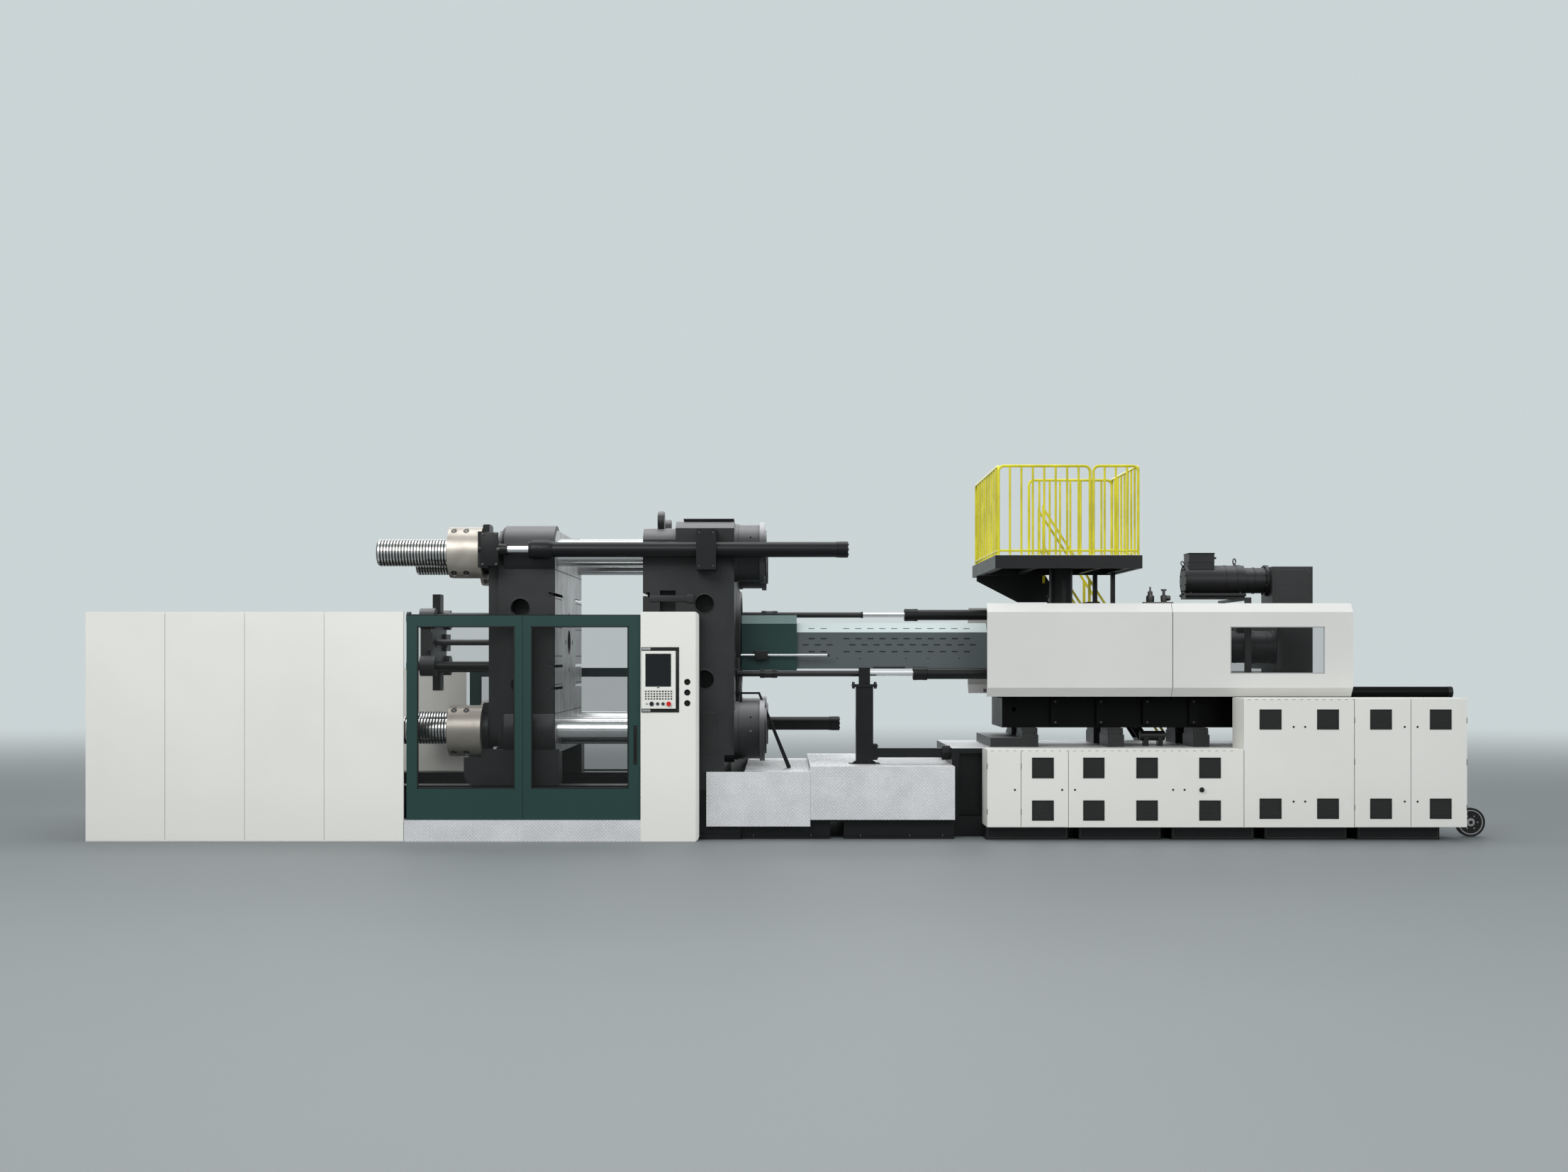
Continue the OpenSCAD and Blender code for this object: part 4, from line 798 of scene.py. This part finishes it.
def dressGuards():
    d = guardDetail
    half = d["slot"] / 2
    inner, outer = d["skin"]
    starts = [first + d["pitch"] * i for first, count in d["runs"] for i in range(count)]
    lean = math.atan2(*d["slope"])
    slots = Shape()
    for side in sides:
        for (z, shift), start in product(d["rows"], starts):
            x = start + shift * d["pitch"]
            if d["span"][0] <= x <= d["span"][1]:
                slots.prism(roundedRect(x - half, x + half, z - 0.0075, z + 0.0075, 0.006, 3), side * inner,
                            side * outer, "y", 0, 1)
        for x in starts[1:]:
            tilt = Matrix.Rotation(side * -lean, 4, "X")
            turn = Matrix.Translation((x, side * (0.45 - 0.067), 2.5735)) @ tilt
            slots.box((-half, -0.0075, -0.0012), (half, 0.0075, 0.0012), 0.001, 1, turn)
        for x in d["rivets"]:
            slots.turned([(-0.001, 0), (0, 0.008), (0.0025, 0.008), (0.0035, 0.005), (0.0035, 0)],
                         (x, side * 0.45, 2.195), (0, side, 0), 14)
        slots.box((1.0, side * outer - 0.002, 2.066), (1.41, side * outer + 0.002, 2.09), 0.002)
    slots.done("barrel_guard_louvres", ventDark, "carriage")
    slide = Shape()
    for side in sides:
        low, high = sorted((side * 0.627, side * 0.5095))
        slide.box((-0.5, low, 2.178), (-0.33, high, 2.294), 0.008, 3)
    slide.done("nozzle_guard_sliders", blackPlastic, "nozzle_guard")
    ends = Shape()
    for side in sides:
        y = side * d["railY"]
        stud(ends, (0.42, y, 2.236), (1, 0, 0), 0.02, 0.022, 0.004, 0.016, 24)
        ends.box((-0.733, y - 0.03, 2.2), (-0.715, y + 0.03, 2.272))
    ends.done("guard_rail_ends", black, "machine")


lowRow = ((0.754, 1.003), (0.245, 0.488))
highRow = ((1.34, 1.582), (0.266, 0.511))
ventPlaces = {
    "cabinet_door_2": [(2.854, 3.116, *row) for row in lowRow],
    "machine": [(*span, *row) for span in ((3.47, 3.726), (4.109, 4.368), (4.866, 5.126)) for row in lowRow]
               + [(*span, *row) for span in ((5.592, 5.856), (6.284, 6.546)) for row in highRow],
    "cabinet_door_3": [(6.921, 7.182, *row) for row in highRow],
    "cabinet_door_4": [(7.639, 7.9, *row) for row in highRow],
}
lockPlaces = {
    "cabinet_door_1": [(2.649, 0.615)],
    "cabinet_door_2": [(3.217, 0.615)],
    "machine": [(3.372, 0.615), (4.552, 0.615), (4.69, 0.615), (6.002, 1.372), (6.141, 1.372), (6.002, 0.474),
                (6.141, 0.474)],
    "cabinet_door_3": [(7.337, 1.372), (7.337, 0.474)],
    "cabinet_door_4": [(7.491, 1.372), (7.491, 0.474)],
}
cabinetDetail = {
    "front": -1.66, "doorFront": -1.6645, "vent": 0.016, "blades": 13, "slotPitch": 0.09,
    "tops": ((2.322, 5.4, 1.094), (5.41, 8.082, 1.7095)),
    "edges": ((2.36, 5.38, 1.082), (5.45, 8.06, 1.698)),
    "joints": ((2.722, 0.0018, 0.168, 1.081), (3.2935, 0.0025, 0.168, 1.081), (5.405, 0.003, 0.168, 1.09),
               (6.7335, 0.0025, 0.168, 1.706), (7.413, 0.0018, 0.168, 1.706)),
    "hinges": ((2.317, (0.35, 0.9)), (2.725, (0.35, 0.9)), (6.737, (0.4, 0.95, 1.45)),
               (8.087, (0.4, 0.95, 1.45))),
}


def dressCabinets():
    d = cabinetDetail
    wide, blades = d["vent"], d["blades"]
    for body, vents in ventPlaces.items():
        y = d["front"] if body == "machine" else d["doorFront"]
        vent = Shape()
        for x0, x1, z0, z1 in vents:
            vent.prism(roundedRect(x0, x1, z0, z1, 0.012), y - 0.001, y + 0.0005, "y", 0, 1)
            for left, right, low, high in rim(x0, x1, z0, z1, wide):
                vent.box((left, y - 0.007, low), (right, y, high), 0.003)
            for i in range(blades):
                z = z0 + 0.022 + (z1 - z0 - 0.044) * (i + 0.5) / blades
                blade = [(y - 0.0005, z + 0.006), (y - 0.0055, z - 0.003), (y - 0.0055, z - 0.0055),
                         (y - 0.0005, z + 0.001)]
                vent.prism(blade, x0 + 0.014, x1 - 0.014, "x", 0, 1)
        vent.done("vents_" + body, ventDark, body)
    for body, locks in lockPlaces.items():
        y = d["front"] if body == "machine" else d["doorFront"]
        lock = Shape()
        for x, z in locks:
            quarterLock(lock, (x, y, z), (0, -1, 0), 24)
        if body == "machine":
            lock.turned([(0, 0), (0, 0.03), (0.006, 0.03), (0.006, 0.022), (0.026, 0.026), (0.03, 0.022),
                         (0.03, 0)], (4.898, y, 0.615), (0, -1, 0), 32)
        lock.done("locks_" + body, blackPlastic, body)
    strip = Shape()  # folded edge with its row of slots along the cabinet tops
    for x0, x1, z in d["tops"]:
        strip.box((x0, -1.655, z), (x1, -1.105, z + 0.0075), 0.003)
    strip.done("cabinet_top_sheets", white, "machine")
    slots = Shape()
    for x0, x1, z in d["edges"]:
        for i in range(int((x1 - x0) / d["slotPitch"])):
            x = x0 + i * d["slotPitch"]
            slots.box((x, -1.6612, z), (x + 0.035, -1.6598, z + 0.004), 0.0005, 1)
    slots.done("cabinet_edge_slots", ventDark, "machine")
    seams = Shape()
    for x, half, z0, z1 in d["joints"]:
        seams.box((x - half, -1.6608, z0), (x + half, -1.645, z1), 0, 1)
    seams.done("cabinet_seams", ventDark, "machine")
    hinge = Shape()
    for x, heights in d["hinges"]:
        for z in heights:
            hinge.turned([(0, 0), (0, 0.0045), (0.07, 0.0045), (0.07, 0)], (x - 0.001, -1.6625, z - 0.035),
                         (0, 0, 1), 12)
    hinge.done("cabinet_hinges", darkSteel, "machine")


def eyeBolt(shape, place, axis, radius):
    shape.turned([(0, 0), (0, radius * 0.55), (radius * 0.25, radius * 0.55), (radius * 0.25, radius * 0.3),
                  (radius * 0.5, radius * 0.3)], place, axis, 20)
    direction = Vector(axis).normalized()
    side = direction.orthogonal().normalized()
    centre = Vector(place) + direction * radius * 1.35
    loop = [centre + (direction * a + side * b) * radius for a, b in ring(28, 1.0) + ring(28, 1.0)[:1]]
    shape.tube(loop, radius * 0.24, 10)


motorDetail = {
    "upperZ": 3.201, "lower": (0.45, 2.338), "lowerBands": (5.51, 5.80, 5.96),
    "bands": ((5.56, 0.194, 0.201, 0.014, 56), (5.70, 0.194, 0.2035, 0.06, 56),
              (5.93, 0.164, 0.172, 0.02, 48)),
    "feetY": 0.15, "feetX": (5.1, 5.74),
    "lid": ((6.15, 1.84), (6.61, 3.335)), "lidScrewsX": (6.17, 6.59),
    "lidScrewsZ": (1.88, 2.24, 2.6, 2.96, 3.30),
}


def dressMotors():
    d = motorDetail
    body = "injection_drive"
    trim = Shape()
    z = d["upperZ"]
    trim.turned([(0, 0.17), (0, 0.188), (0.01, 0.197), (0.02, 0.1985), (0.05, 0.1985), (0.052, 0.196)],
                (5.038, 0, z), (1, 0, 0), 56)
    for x, inner, outer, width, segments in d["bands"]:
        band(trim, (x, 0, z), inner, outer, width, segments)
    for (a, b), (c, e) in zip(ring(8, 0.15, 22.5), ring(8, 0.183, 22.5)):
        capScrew(trim, (5.0385, a, z + b), (-1, 0, 0), 0.010, 0.010)
        capScrew(trim, (6.079, c, z + e), (-1, 0, 0), 0.012, 0.012)
    for low, high, bevel in ((3.535, 3.5535, 0.006), (3.43, 3.436, 0.002)):  # terminal box lid and seam
        trim.box((5.076, -0.156, low), (5.414, 0.156, high), bevel)
    trim.turned([(0, 0), (0, 0.022), (0.02, 0.022), (0.02, 0.016), (0.045, 0.013), (0.045, 0)],
                (5.408, -0.05, 3.49), (1, 0, 0), 24)
    for y in (-d["feetY"], d["feetY"]):
        trim.box((5.03, y - 0.04, 2.99), (5.81, y + 0.04, 3.031), 0.012, 3)
        for x in d["feetX"]:
            hexBolt(trim, (x, y, 3.0305), (0, 0, 1), 0.016, 0.02)
    trim.done("upper_motor_trim", motorPaint, body)
    eyes = Shape()
    eyeBolt(eyes, (5.05, -0.02, 3.385), (-0.55, 0, 0.83), 0.03)
    eyeBolt(eyes, (5.70, 0, 3.402), (0, 0, 1), 0.034)
    eyes.done("upper_motor_eyes", darkSteel, body)
    lower = Shape()
    for side in sides:
        y, z = side * d["lower"][0], d["lower"][1]
        for x in d["lowerBands"]:
            band(lower, (x, y, z), 0.196, 0.207, 0.022, 48)
        for a, b in ring(12, 0.1968, 15):
            capScrew(lower, (6.04, y + a, z + b), (-1, 0, 0), 0.009, 0.012)
        lower.box((5.6, y - 0.09, 2.505), (5.78, y + 0.09, 2.60), 0.008)
    lower.done("lower_motor_trim", motorPaint, body)
    cover = Shape()  # lids on the belt box
    (x0, z0), (x1, z1) = d["lid"]
    for side in sides:
        low, high = sorted((side * 0.2695, side * 0.2735))
        cover.box((x0, low, z0), (x1, high, z1), 0.002, 1)
    cover.done("belt_box_lids", cast, body)
    screws = Shape()
    for side, z, x in product(sides, d["lidScrewsZ"], d["lidScrewsX"]):
        capScrew(screws, (x, side * 0.273, z), (0, side, 0), 0.008, 0.006)
    screws.done("belt_box_screws", darkSteel, body)


carriageDetail = {
    "rods": ((0.8, 2.775), (-0.8, 2.006)), "standX": (4.36, 4.67), "seamX": (4.6465, 4.6535),
    "window": (5.358, 6.517, 2.008, 2.587), "sealWidth": 0.012,
}


def dressCarriage():
    d = carriageDetail
    ends = Shape()
    for y, z in d["rods"]:
        ends.turned([(0, 0.045), (0, 0.078), (0.004, 0.084), (0.05, 0.084), (0.055, 0.0795), (0.12, 0.0795),
                     (0.125, 0.084), (0.17, 0.084), (0.178, 0.075)], (1.4845, y, z), (1, 0, 0), 48)
        for a, b in ring(8, 0.064):
            capScrew(ends, (1.486, y + a, z + b), (-1, 0, 0), 0.007, 0.007)
    ends.done("carriage_cylinder_heads", black, "carriage")
    clamps = Shape()
    for y, z in d["rods"]:
        clamps.turned([(0, 0.037), (0, 0.05), (0.008, 0.056), (0.06, 0.056), (0.068, 0.046), (0.14, 0.046),
                       (0.148, 0.056), (0.21, 0.056), (0.22, 0.048), (0.22, 0.037)],
                      (-0.43, y, z), (1, 0, 0), 8)
        clamps.turned([(0, 0.036), (0, 0.043), (0.03, 0.043), (0.03, 0.036)], (0.9, y, z), (1, 0, 0), 32)
        clamps.turned([(0, 0.036), (0, 0.07), (0.02, 0.07), (0.024, 0.066), (0.024, 0.036)],
                      (-0.7335, y, z), (1, 0, 0), 32)
    clamps.done("carriage_rod_couplings", black, "machine")
    valves = Shape()  # block with two hand valves behind the side cover
    valves.box((4.36, -0.86, 2.78), (4.73, -0.74, 2.90), 0.008)
    valves.turned([(0, 0), (0, 0.045), (0.02, 0.05), (0.08, 0.05), (0.1, 0.03), (0.14, 0.03), (0.15, 0.012),
                   (0.2, 0.01), (0.2, 0)], (4.45, -0.8, 2.89), (0, 0, 1), 24)
    valves.turned([(0, 0), (0, 0.035), (0.05, 0.04), (0.09, 0.04), (0.1, 0.018), (0.15, 0.018), (0.15, 0.035),
                   (0.17, 0.035), (0.17, 0)], (4.62, -0.8, 2.89), (0, 0, 1), 24)
    valves.turned([(0, 0), (0, 0.03), (0.03, 0.036), (0.06, 0.03), (0.06, 0)],
                  (4.64, -0.8, 2.95), (1, 0, 0), 20)
    valves.done("carriage_valves", darkSteel, "carriage")
    legs = Shape()
    for x in d["standX"]:
        legs.box((x, -0.85, 1.785), (x + 0.06, -0.75, 2.785))
    legs.done("valve_stand", black, "carriage")
    joint = Shape()
    joint.box((d["seamX"][0], -1.1902, 1.835), (d["seamX"][1], -1.1885, 2.764), 0, 1)
    joint.done("side_cover_seam", ventDark, "carriage")
    seal = Shape()
    for side in sides:
        low, high = sorted((side * 1.1915, side * 1.179))
        for x0, x1, z0, z1 in rim(*d["window"], d["sealWidth"], 0.002):
            seal.box((x0, low, z0), (x1, high, z1), 0.0015, 1)
    seal.done("side_window_seals", greyPlastic, "carriage")
    caps = Shape()
    caps.turned([(0, 0.06), (0, 0.0685), (0.012, 0.07), (0.05, 0.07), (0.054, 0.066), (0.054, 0)],
                (8.09, -1.0, 1.778), (1, 0, 0), 40)
    caps.done("beam_tube_cap", black, "carriage")


postDetail = {"x": 0.876, "y": -0.8, "foot": (8, 0.13), "headX": (0.74, 1.012), "headY": (-0.905, -0.695)}


def dressPost():
    d = postDetail
    bolts = Shape()
    for a, b in ring(*d["foot"], 22.5):
        hexBolt(bolts, (d["x"] + a, d["y"] + b, 0.8975), (0, 0, 1), 0.011, 0.014)
    for x, y in product(d["headX"], d["headY"]):
        hexBolt(bolts, (x, y, 1.8715), (0, 0, 1), 0.013, 0.03)
        hexBolt(bolts, (x, y, 1.8395), (0, 0, -1), 0.013, 0.022)
    for z, y in product((0.96, 1.10), (-0.875, -0.725)):
        hexBolt(bolts, (1.0355, y, z), (1, 0, 0), 0.010, 0.012)
    bolts.done("post_bolts", darkSteel, "machine")


platformDetail = {"tread": ((2.492, -1.043), (4.298, 0.843)), "beams": (2.56, 3.0, 3.8, 4.18),
                  "columnX": 3.455, "flanges": ((2.641, 1), (3.4495, -1)), "flangeBolts": (8, 0.182)}


def dressPlatform():
    d = platformDetail
    tread = Shape()
    tread.box((*d["tread"][0], 3.4705), (*d["tread"][1], 3.475), 0.002, 1)
    tread.done("deck_tread", treads, "carriage")
    braces = Shape()  # beams under the deck
    for x in d["beams"]:
        braces.box((x, -0.98, 3.325), (x + 0.06, 0.78, 3.44), 0.003, 1)
    braces.done("deck_braces", black, "carriage")
    flange = Shape()
    x = d["columnX"]
    for z, flip in d["flanges"]:
        flange.turned([(0, 0.15), (0, 0.21), (flip * 0.022, 0.21), (flip * 0.026, 0.205),
                       (flip * 0.026, 0.151)], (x, 0, z), (0, 0, 1), 48)
        for a, b in ring(*d["flangeBolts"], 22.5):
            hexBolt(flange, (x + a, b, z + flip * 0.024), (0, 0, flip), 0.011, 0.014)
    flange.done("hopper_column_flanges", black, "carriage")


wheelDetail = {"middle": (8.328, -1.115, 0.177), "face": 0.0255, "bolts": (6, 0.085)}


def dressWheel():
    d = wheelDetail
    x, y, z = d["middle"]
    half = [(0.012, 0.1768), (0.026, 0.1755), (0.031, 0.168), (0.031, 0.158), (0.029, 0.153)]
    tyre = Shape()
    tyre.turned([(-a, r) for a, r in reversed(half)] + half, (x, y, z), (0, 1, 0), 72)
    tyre.done("wheel_tyre", rubber, "wheel")
    hub = Shape()
    for side in sides:
        face = y + side * d["face"]
        hub.turned([(0, 0.021), (0, 0.05), (0.004, 0.052), (0.009, 0.048), (0.009, 0.021)],
                   (x, face, z), (0, side, 0), 40)
        hub.turned([(0, 0.138), (0.004, 0.141), (0.004, 0.151), (0, 0.153)], (x, face, z), (0, side, 0), 56)
        for a, b in ring(*d["bolts"]):
            hexBolt(hub, (x + a, face, z + b), (0, side, 0), 0.008, 0.009)
    hub.done("wheel_hub", greyPlastic, "wheel", "rubber_black")


baseDetail = {
    "plinths": (5, 2.317, 1.1254, 0.9954, -1.501),
    "clampFeet": (-8.2, -7.2, -6.2, -5.2, -4.2, -3.2, -2.2), "midFeet": (-0.5, 0.2, 0.8, 1.4, 1.8),
    "pedestals": (2.846, 3.918, 4.985, 5.9), "deck": ((1.95, -1.094, 1.0848), (7.94, 1.094, 1.0875)),
}


def dressBase():
    d = baseDetail
    marks = Shape()  # edges of the plinth boxes
    count, start, pitch, length, y = d["plinths"]
    for k in range(count):
        x0 = start + k * pitch
        left, right = x0 + 0.02, x0 + length - 0.02
        path = [(left, y, 0.15), (left, y, 0.02), (right, y, 0.02), (right, y, 0.15)]
        marks.tube(rounded(path, 0.03), 0.004, 8)
    marks.done("plinth_edges", darkSteel, "machine", "frame_black")
    feet = Shape()
    for places, y, z, radius, height in ((d["clampFeet"], 1.462, 0.0605, 0.014, 0.028),
                                         (d["midFeet"], 1.405, 0.0305, 0.012, 0.024)):
        for x, side in product(places, sides):
            hexBolt(feet, (x, side * y, z), (0, 0, 1), radius, height)
    feet.done("anchor_bolts", darkSteel, "machine")
    peds = Shape()
    for x, side, dx, dy in product(d["pedestals"], sides, (0.03, 0.174), (-0.27, 0.27)):
        hexBolt(peds, (x + dx, side * 0.52 + dy, 1.2405), (0, 0, 1), 0.013, 0.024)
    peds.done("pedestal_bolts", darkSteel, "machine")
    Shape().box(*d["deck"], 0.001, 1).done("base_deck_plate", treads, "machine")


backDetail = {
    "coverY": 1.76, "seams": (-7.548, -6.594, -5.64), "vents": (-7.07, -6.117),
    "locks": (-8.38, -7.62, -7.47),
    "endX": -8.505, "endSeams": (-0.86, 0.0, 0.86), "endVents": (-1.29, 1.29),
    "endLocks": (-1.6, -0.94, -0.78, -0.08, 0.08, 0.78, 0.94, 1.66),
    "window": (-4.354, -1.946, 0.636, 1.954), "lids": (5, 2.1, 1.17, 0.98),
    "ribs": (3.29, 3.865, 4.45, 5.035, 5.615, 6.205), "slots": 12, "slotPitch": 0.024,
}


def dressBack():
    d = backDetail
    end = (d["endX"] - 0.0004, d["endX"] + 0.0005)
    seams = Shape()
    for x in d["seams"]:
        seams.box((x - 0.002, d["coverY"] - 0.0005, 0.02), (x + 0.002, d["coverY"] + 0.0008, 2.05), 0, 1)
    for y in d["endSeams"]:
        seams.box((end[0], y - 0.002, 0.02), (end[1], y + 0.002, 2.74), 0, 1)
    seams.done("back_cover_seams", ventDark, "machine")
    vents = Shape()
    for x, i in product(d["vents"], range(d["slots"])):
        z = 1.62 + i * d["slotPitch"]
        vents.prism(roundedRect(x - 0.22, x + 0.22, z - 0.005, z + 0.005, 0.0048, 3), d["coverY"] - 0.0005,
                    d["coverY"] + 0.001, "y", 0, 1)
    for y, i in product(d["endVents"], range(d["slots"])):
        z = 0.42 + i * d["slotPitch"]
        vents.prism([(y - 0.18, z - 0.005), (y + 0.18, z - 0.005), (y + 0.18, z + 0.005),
                     (y - 0.18, z + 0.005)], *end, "x", 0, 1)
    vents.done("back_cover_vents", ventDark, "machine")
    locks = Shape()
    for x, z in product(d["locks"], (0.35, 1.85)):  # none where the back door slides
        quarterLock(locks, (x, d["coverY"], z), (0, 1, 0))
    for y, z in product(d["endLocks"], (0.3, 2.55)):
        stud(locks, (d["endX"], y, z), (-1, 0, 0), 0.0125, 0.0005, 0.0002, 0.0105, 20)
    locks.done("back_cover_locks", blackPlastic, "machine")
    grip = Shape()
    grip.prism(roundedRect(-1.92, -1.88, 0.95, 1.33, 0.02), 1.7885, 1.7904, "y", 0.0003, 1)
    for x0, x1, z0, z1 in rim(*d["window"], 0.016, 0.004):
        grip.box((x0, 1.7635, z0), (x1, 1.7898, z1), 0.0015, 1)
    grip.done("back_door_trim", blackPlastic, "back_door")
    lids = Shape()  # service lids along the back of the injection base
    screws = Shape()
    count, start, pitch, length = d["lids"]
    for k in range(count):
        x0 = start + k * pitch
        lids.prism(roundedRect(x0, x0 + length, 0.3, 0.98, 0.03), 1.0995, 1.104, "y", 0.0015, 1)
        for dx, z in product((0.05, 0.49, 0.93), (0.35, 0.93)):
            capScrew(screws, (x0 + dx, 1.1038, z), (0, 1, 0), 0.009, 0.008, 16)
    lids.done("base_back_lids", black, "machine")
    screws.done("base_back_screws", darkSteel, "machine")
    ribs = Shape()  # bolts of the beam's stiffeners
    for x, side, z in product(d["ribs"], sides, (1.39, 1.65)):
        hexBolt(ribs, (x, side * 0.6195, z), (0, side, 0), 0.012, 0.018)
    ribs.done("beam_rib_bolts", darkSteel, "carriage")


dressNuts()
dressPlatens()
print("clamp unit dressed")
dressCovers()
dressDoors()
dressPanel()
dressGuards()
print("guards dressed")
dressCabinets()
dressMotors()
dressCarriage()
dressPost()
dressPlatform()
dressWheel()
dressBase()
dressBack()
print("injection unit dressed")


studio = {
    "world": 0.53, "sky": (0.93, 0.96, 1.0), "wall": (0.60, 0.66, 0.67), "floor": (0.175, 0.194, 0.198),
    "floorSize": 60.0, "fade": (5.0, 38.0),
    "lights": (("key", (-7.0, -14.0, 11.0), (0, 0, 1.6), (12.0, 7.0), 1560),
               ("fill", (10.0, -15.0, 8.0), (1.0, 0, 1.8), (10.0, 7.0), 690),
               ("top", (0.0, 1.0, 12.5), (0, 0, 0), (18.0, 7.0), 1120),
               ("back", (0.0, 14.0, 9.0), (0, 0, 2.0), (18.0, 6.0), 620)),
    "camera": {"place": (-0.146, -23.49, 2.21), "lens": 41.66, "shift": (0.0009, 0.0454)},
}


def makeFloor():
    size = studio["floorSize"]
    mesh = bpy.data.meshes.new("floor")
    mesh.from_pydata([(-size, -size, 0), (size, -size, 0), (size, size, 0), (-size, size, 0)], [],
                     [(0, 1, 2, 3)])
    floor = bpy.data.objects.new("floor", mesh)
    bpy.context.collection.objects.link(floor)
    f = Finish("floor_pale", studio["floor"], 0.6)
    cloud = f.noise(0.35, 3.0)
    f.set("Base Color", f.mix(cloud.step(0.3, 0.7), shade(studio["floor"], 0.98), studio["floor"]))
    x, y, z = f.axes()
    away = ((x * x) * 0.35 + y * y).calc("SQRT")
    ray = f.add("ShaderNodeLightPath").out.node
    seen = Wire(f, ray.outputs["Is Camera Ray"])
    for kind in ("Is Glossy Ray", "Is Transmission Ray"):
        seen = seen.high(Wire(f, ray.outputs[kind]))
    glow = f.add("ShaderNodeEmission", None, {"Color": (*studio["wall"], 1.0), "Strength": 1.0})
    faded = seen * away.step(*studio["fade"])  # the floor fades into the wall
    node = f.add("ShaderNodeMixShader", None, {0: faded}).out.node
    f.tree.links.new(f.shader.outputs[0], node.inputs[1])
    f.tree.links.new(glow.out, node.inputs[2])
    f.tree.links.new(node.outputs[0], f.tree.nodes["Material Output"].inputs[0])
    mesh.materials.append(f.mat)


def makeWorld():
    world = bpy.data.worlds.new("studio")
    bpy.context.scene.world = world
    world.use_nodes = True
    tree = world.node_tree
    soft = tree.nodes["Background"]
    soft.inputs[0].default_value = (*studio["sky"], 1.0)
    soft.inputs[1].default_value = studio["world"]
    shown = tree.nodes.new("ShaderNodeBackground")  # what the camera and the reflections see
    shown.inputs[0].default_value = (*studio["wall"], 1.0)
    ray = tree.nodes.new("ShaderNodeLightPath")
    seen = ray.outputs["Is Camera Ray"]
    for kind in ("Is Glossy Ray", "Is Transmission Ray"):
        either = tree.nodes.new("ShaderNodeMath")
        either.operation = "MAXIMUM"
        tree.links.new(seen, either.inputs[0])
        tree.links.new(ray.outputs[kind], either.inputs[1])
        seen = either.outputs[0]
    mix = tree.nodes.new("ShaderNodeMixShader")
    tree.links.new(seen, mix.inputs[0])
    tree.links.new(soft.outputs[0], mix.inputs[1])
    tree.links.new(shown.outputs[0], mix.inputs[2])
    tree.links.new(mix.outputs[0], tree.nodes["World Output"].inputs[0])


def areaLight(name, place, target, size, power):
    data = bpy.data.lights.new(name, "AREA")
    data.shape = "RECTANGLE"
    data.size, data.size_y = size
    data.energy = power
    light = bpy.data.objects.new(name, data)
    light.location = place
    light.rotation_euler = (Vector(target) - Vector(place)).to_track_quat("-Z", "Y").to_euler()
    bpy.context.collection.objects.link(light)


def makeCamera():
    view = studio["camera"]
    data = bpy.data.cameras.new("camera")
    data.lens = view["lens"]
    data.sensor_width = 36.0
    data.shift_x, data.shift_y = view["shift"]
    data.clip_end = 400.0
    camera = bpy.data.objects.new("camera", data)
    camera.location = view["place"]
    camera.rotation_euler = (math.pi / 2, 0, 0)
    bpy.context.collection.objects.link(camera)
    bpy.context.scene.camera = camera


makeFloor()
makeWorld()
for light in studio["lights"]:
    areaLight(*light)
makeCamera()
bpy.context.scene.view_settings.view_transform = "Standard"
print("floor, light and camera done")
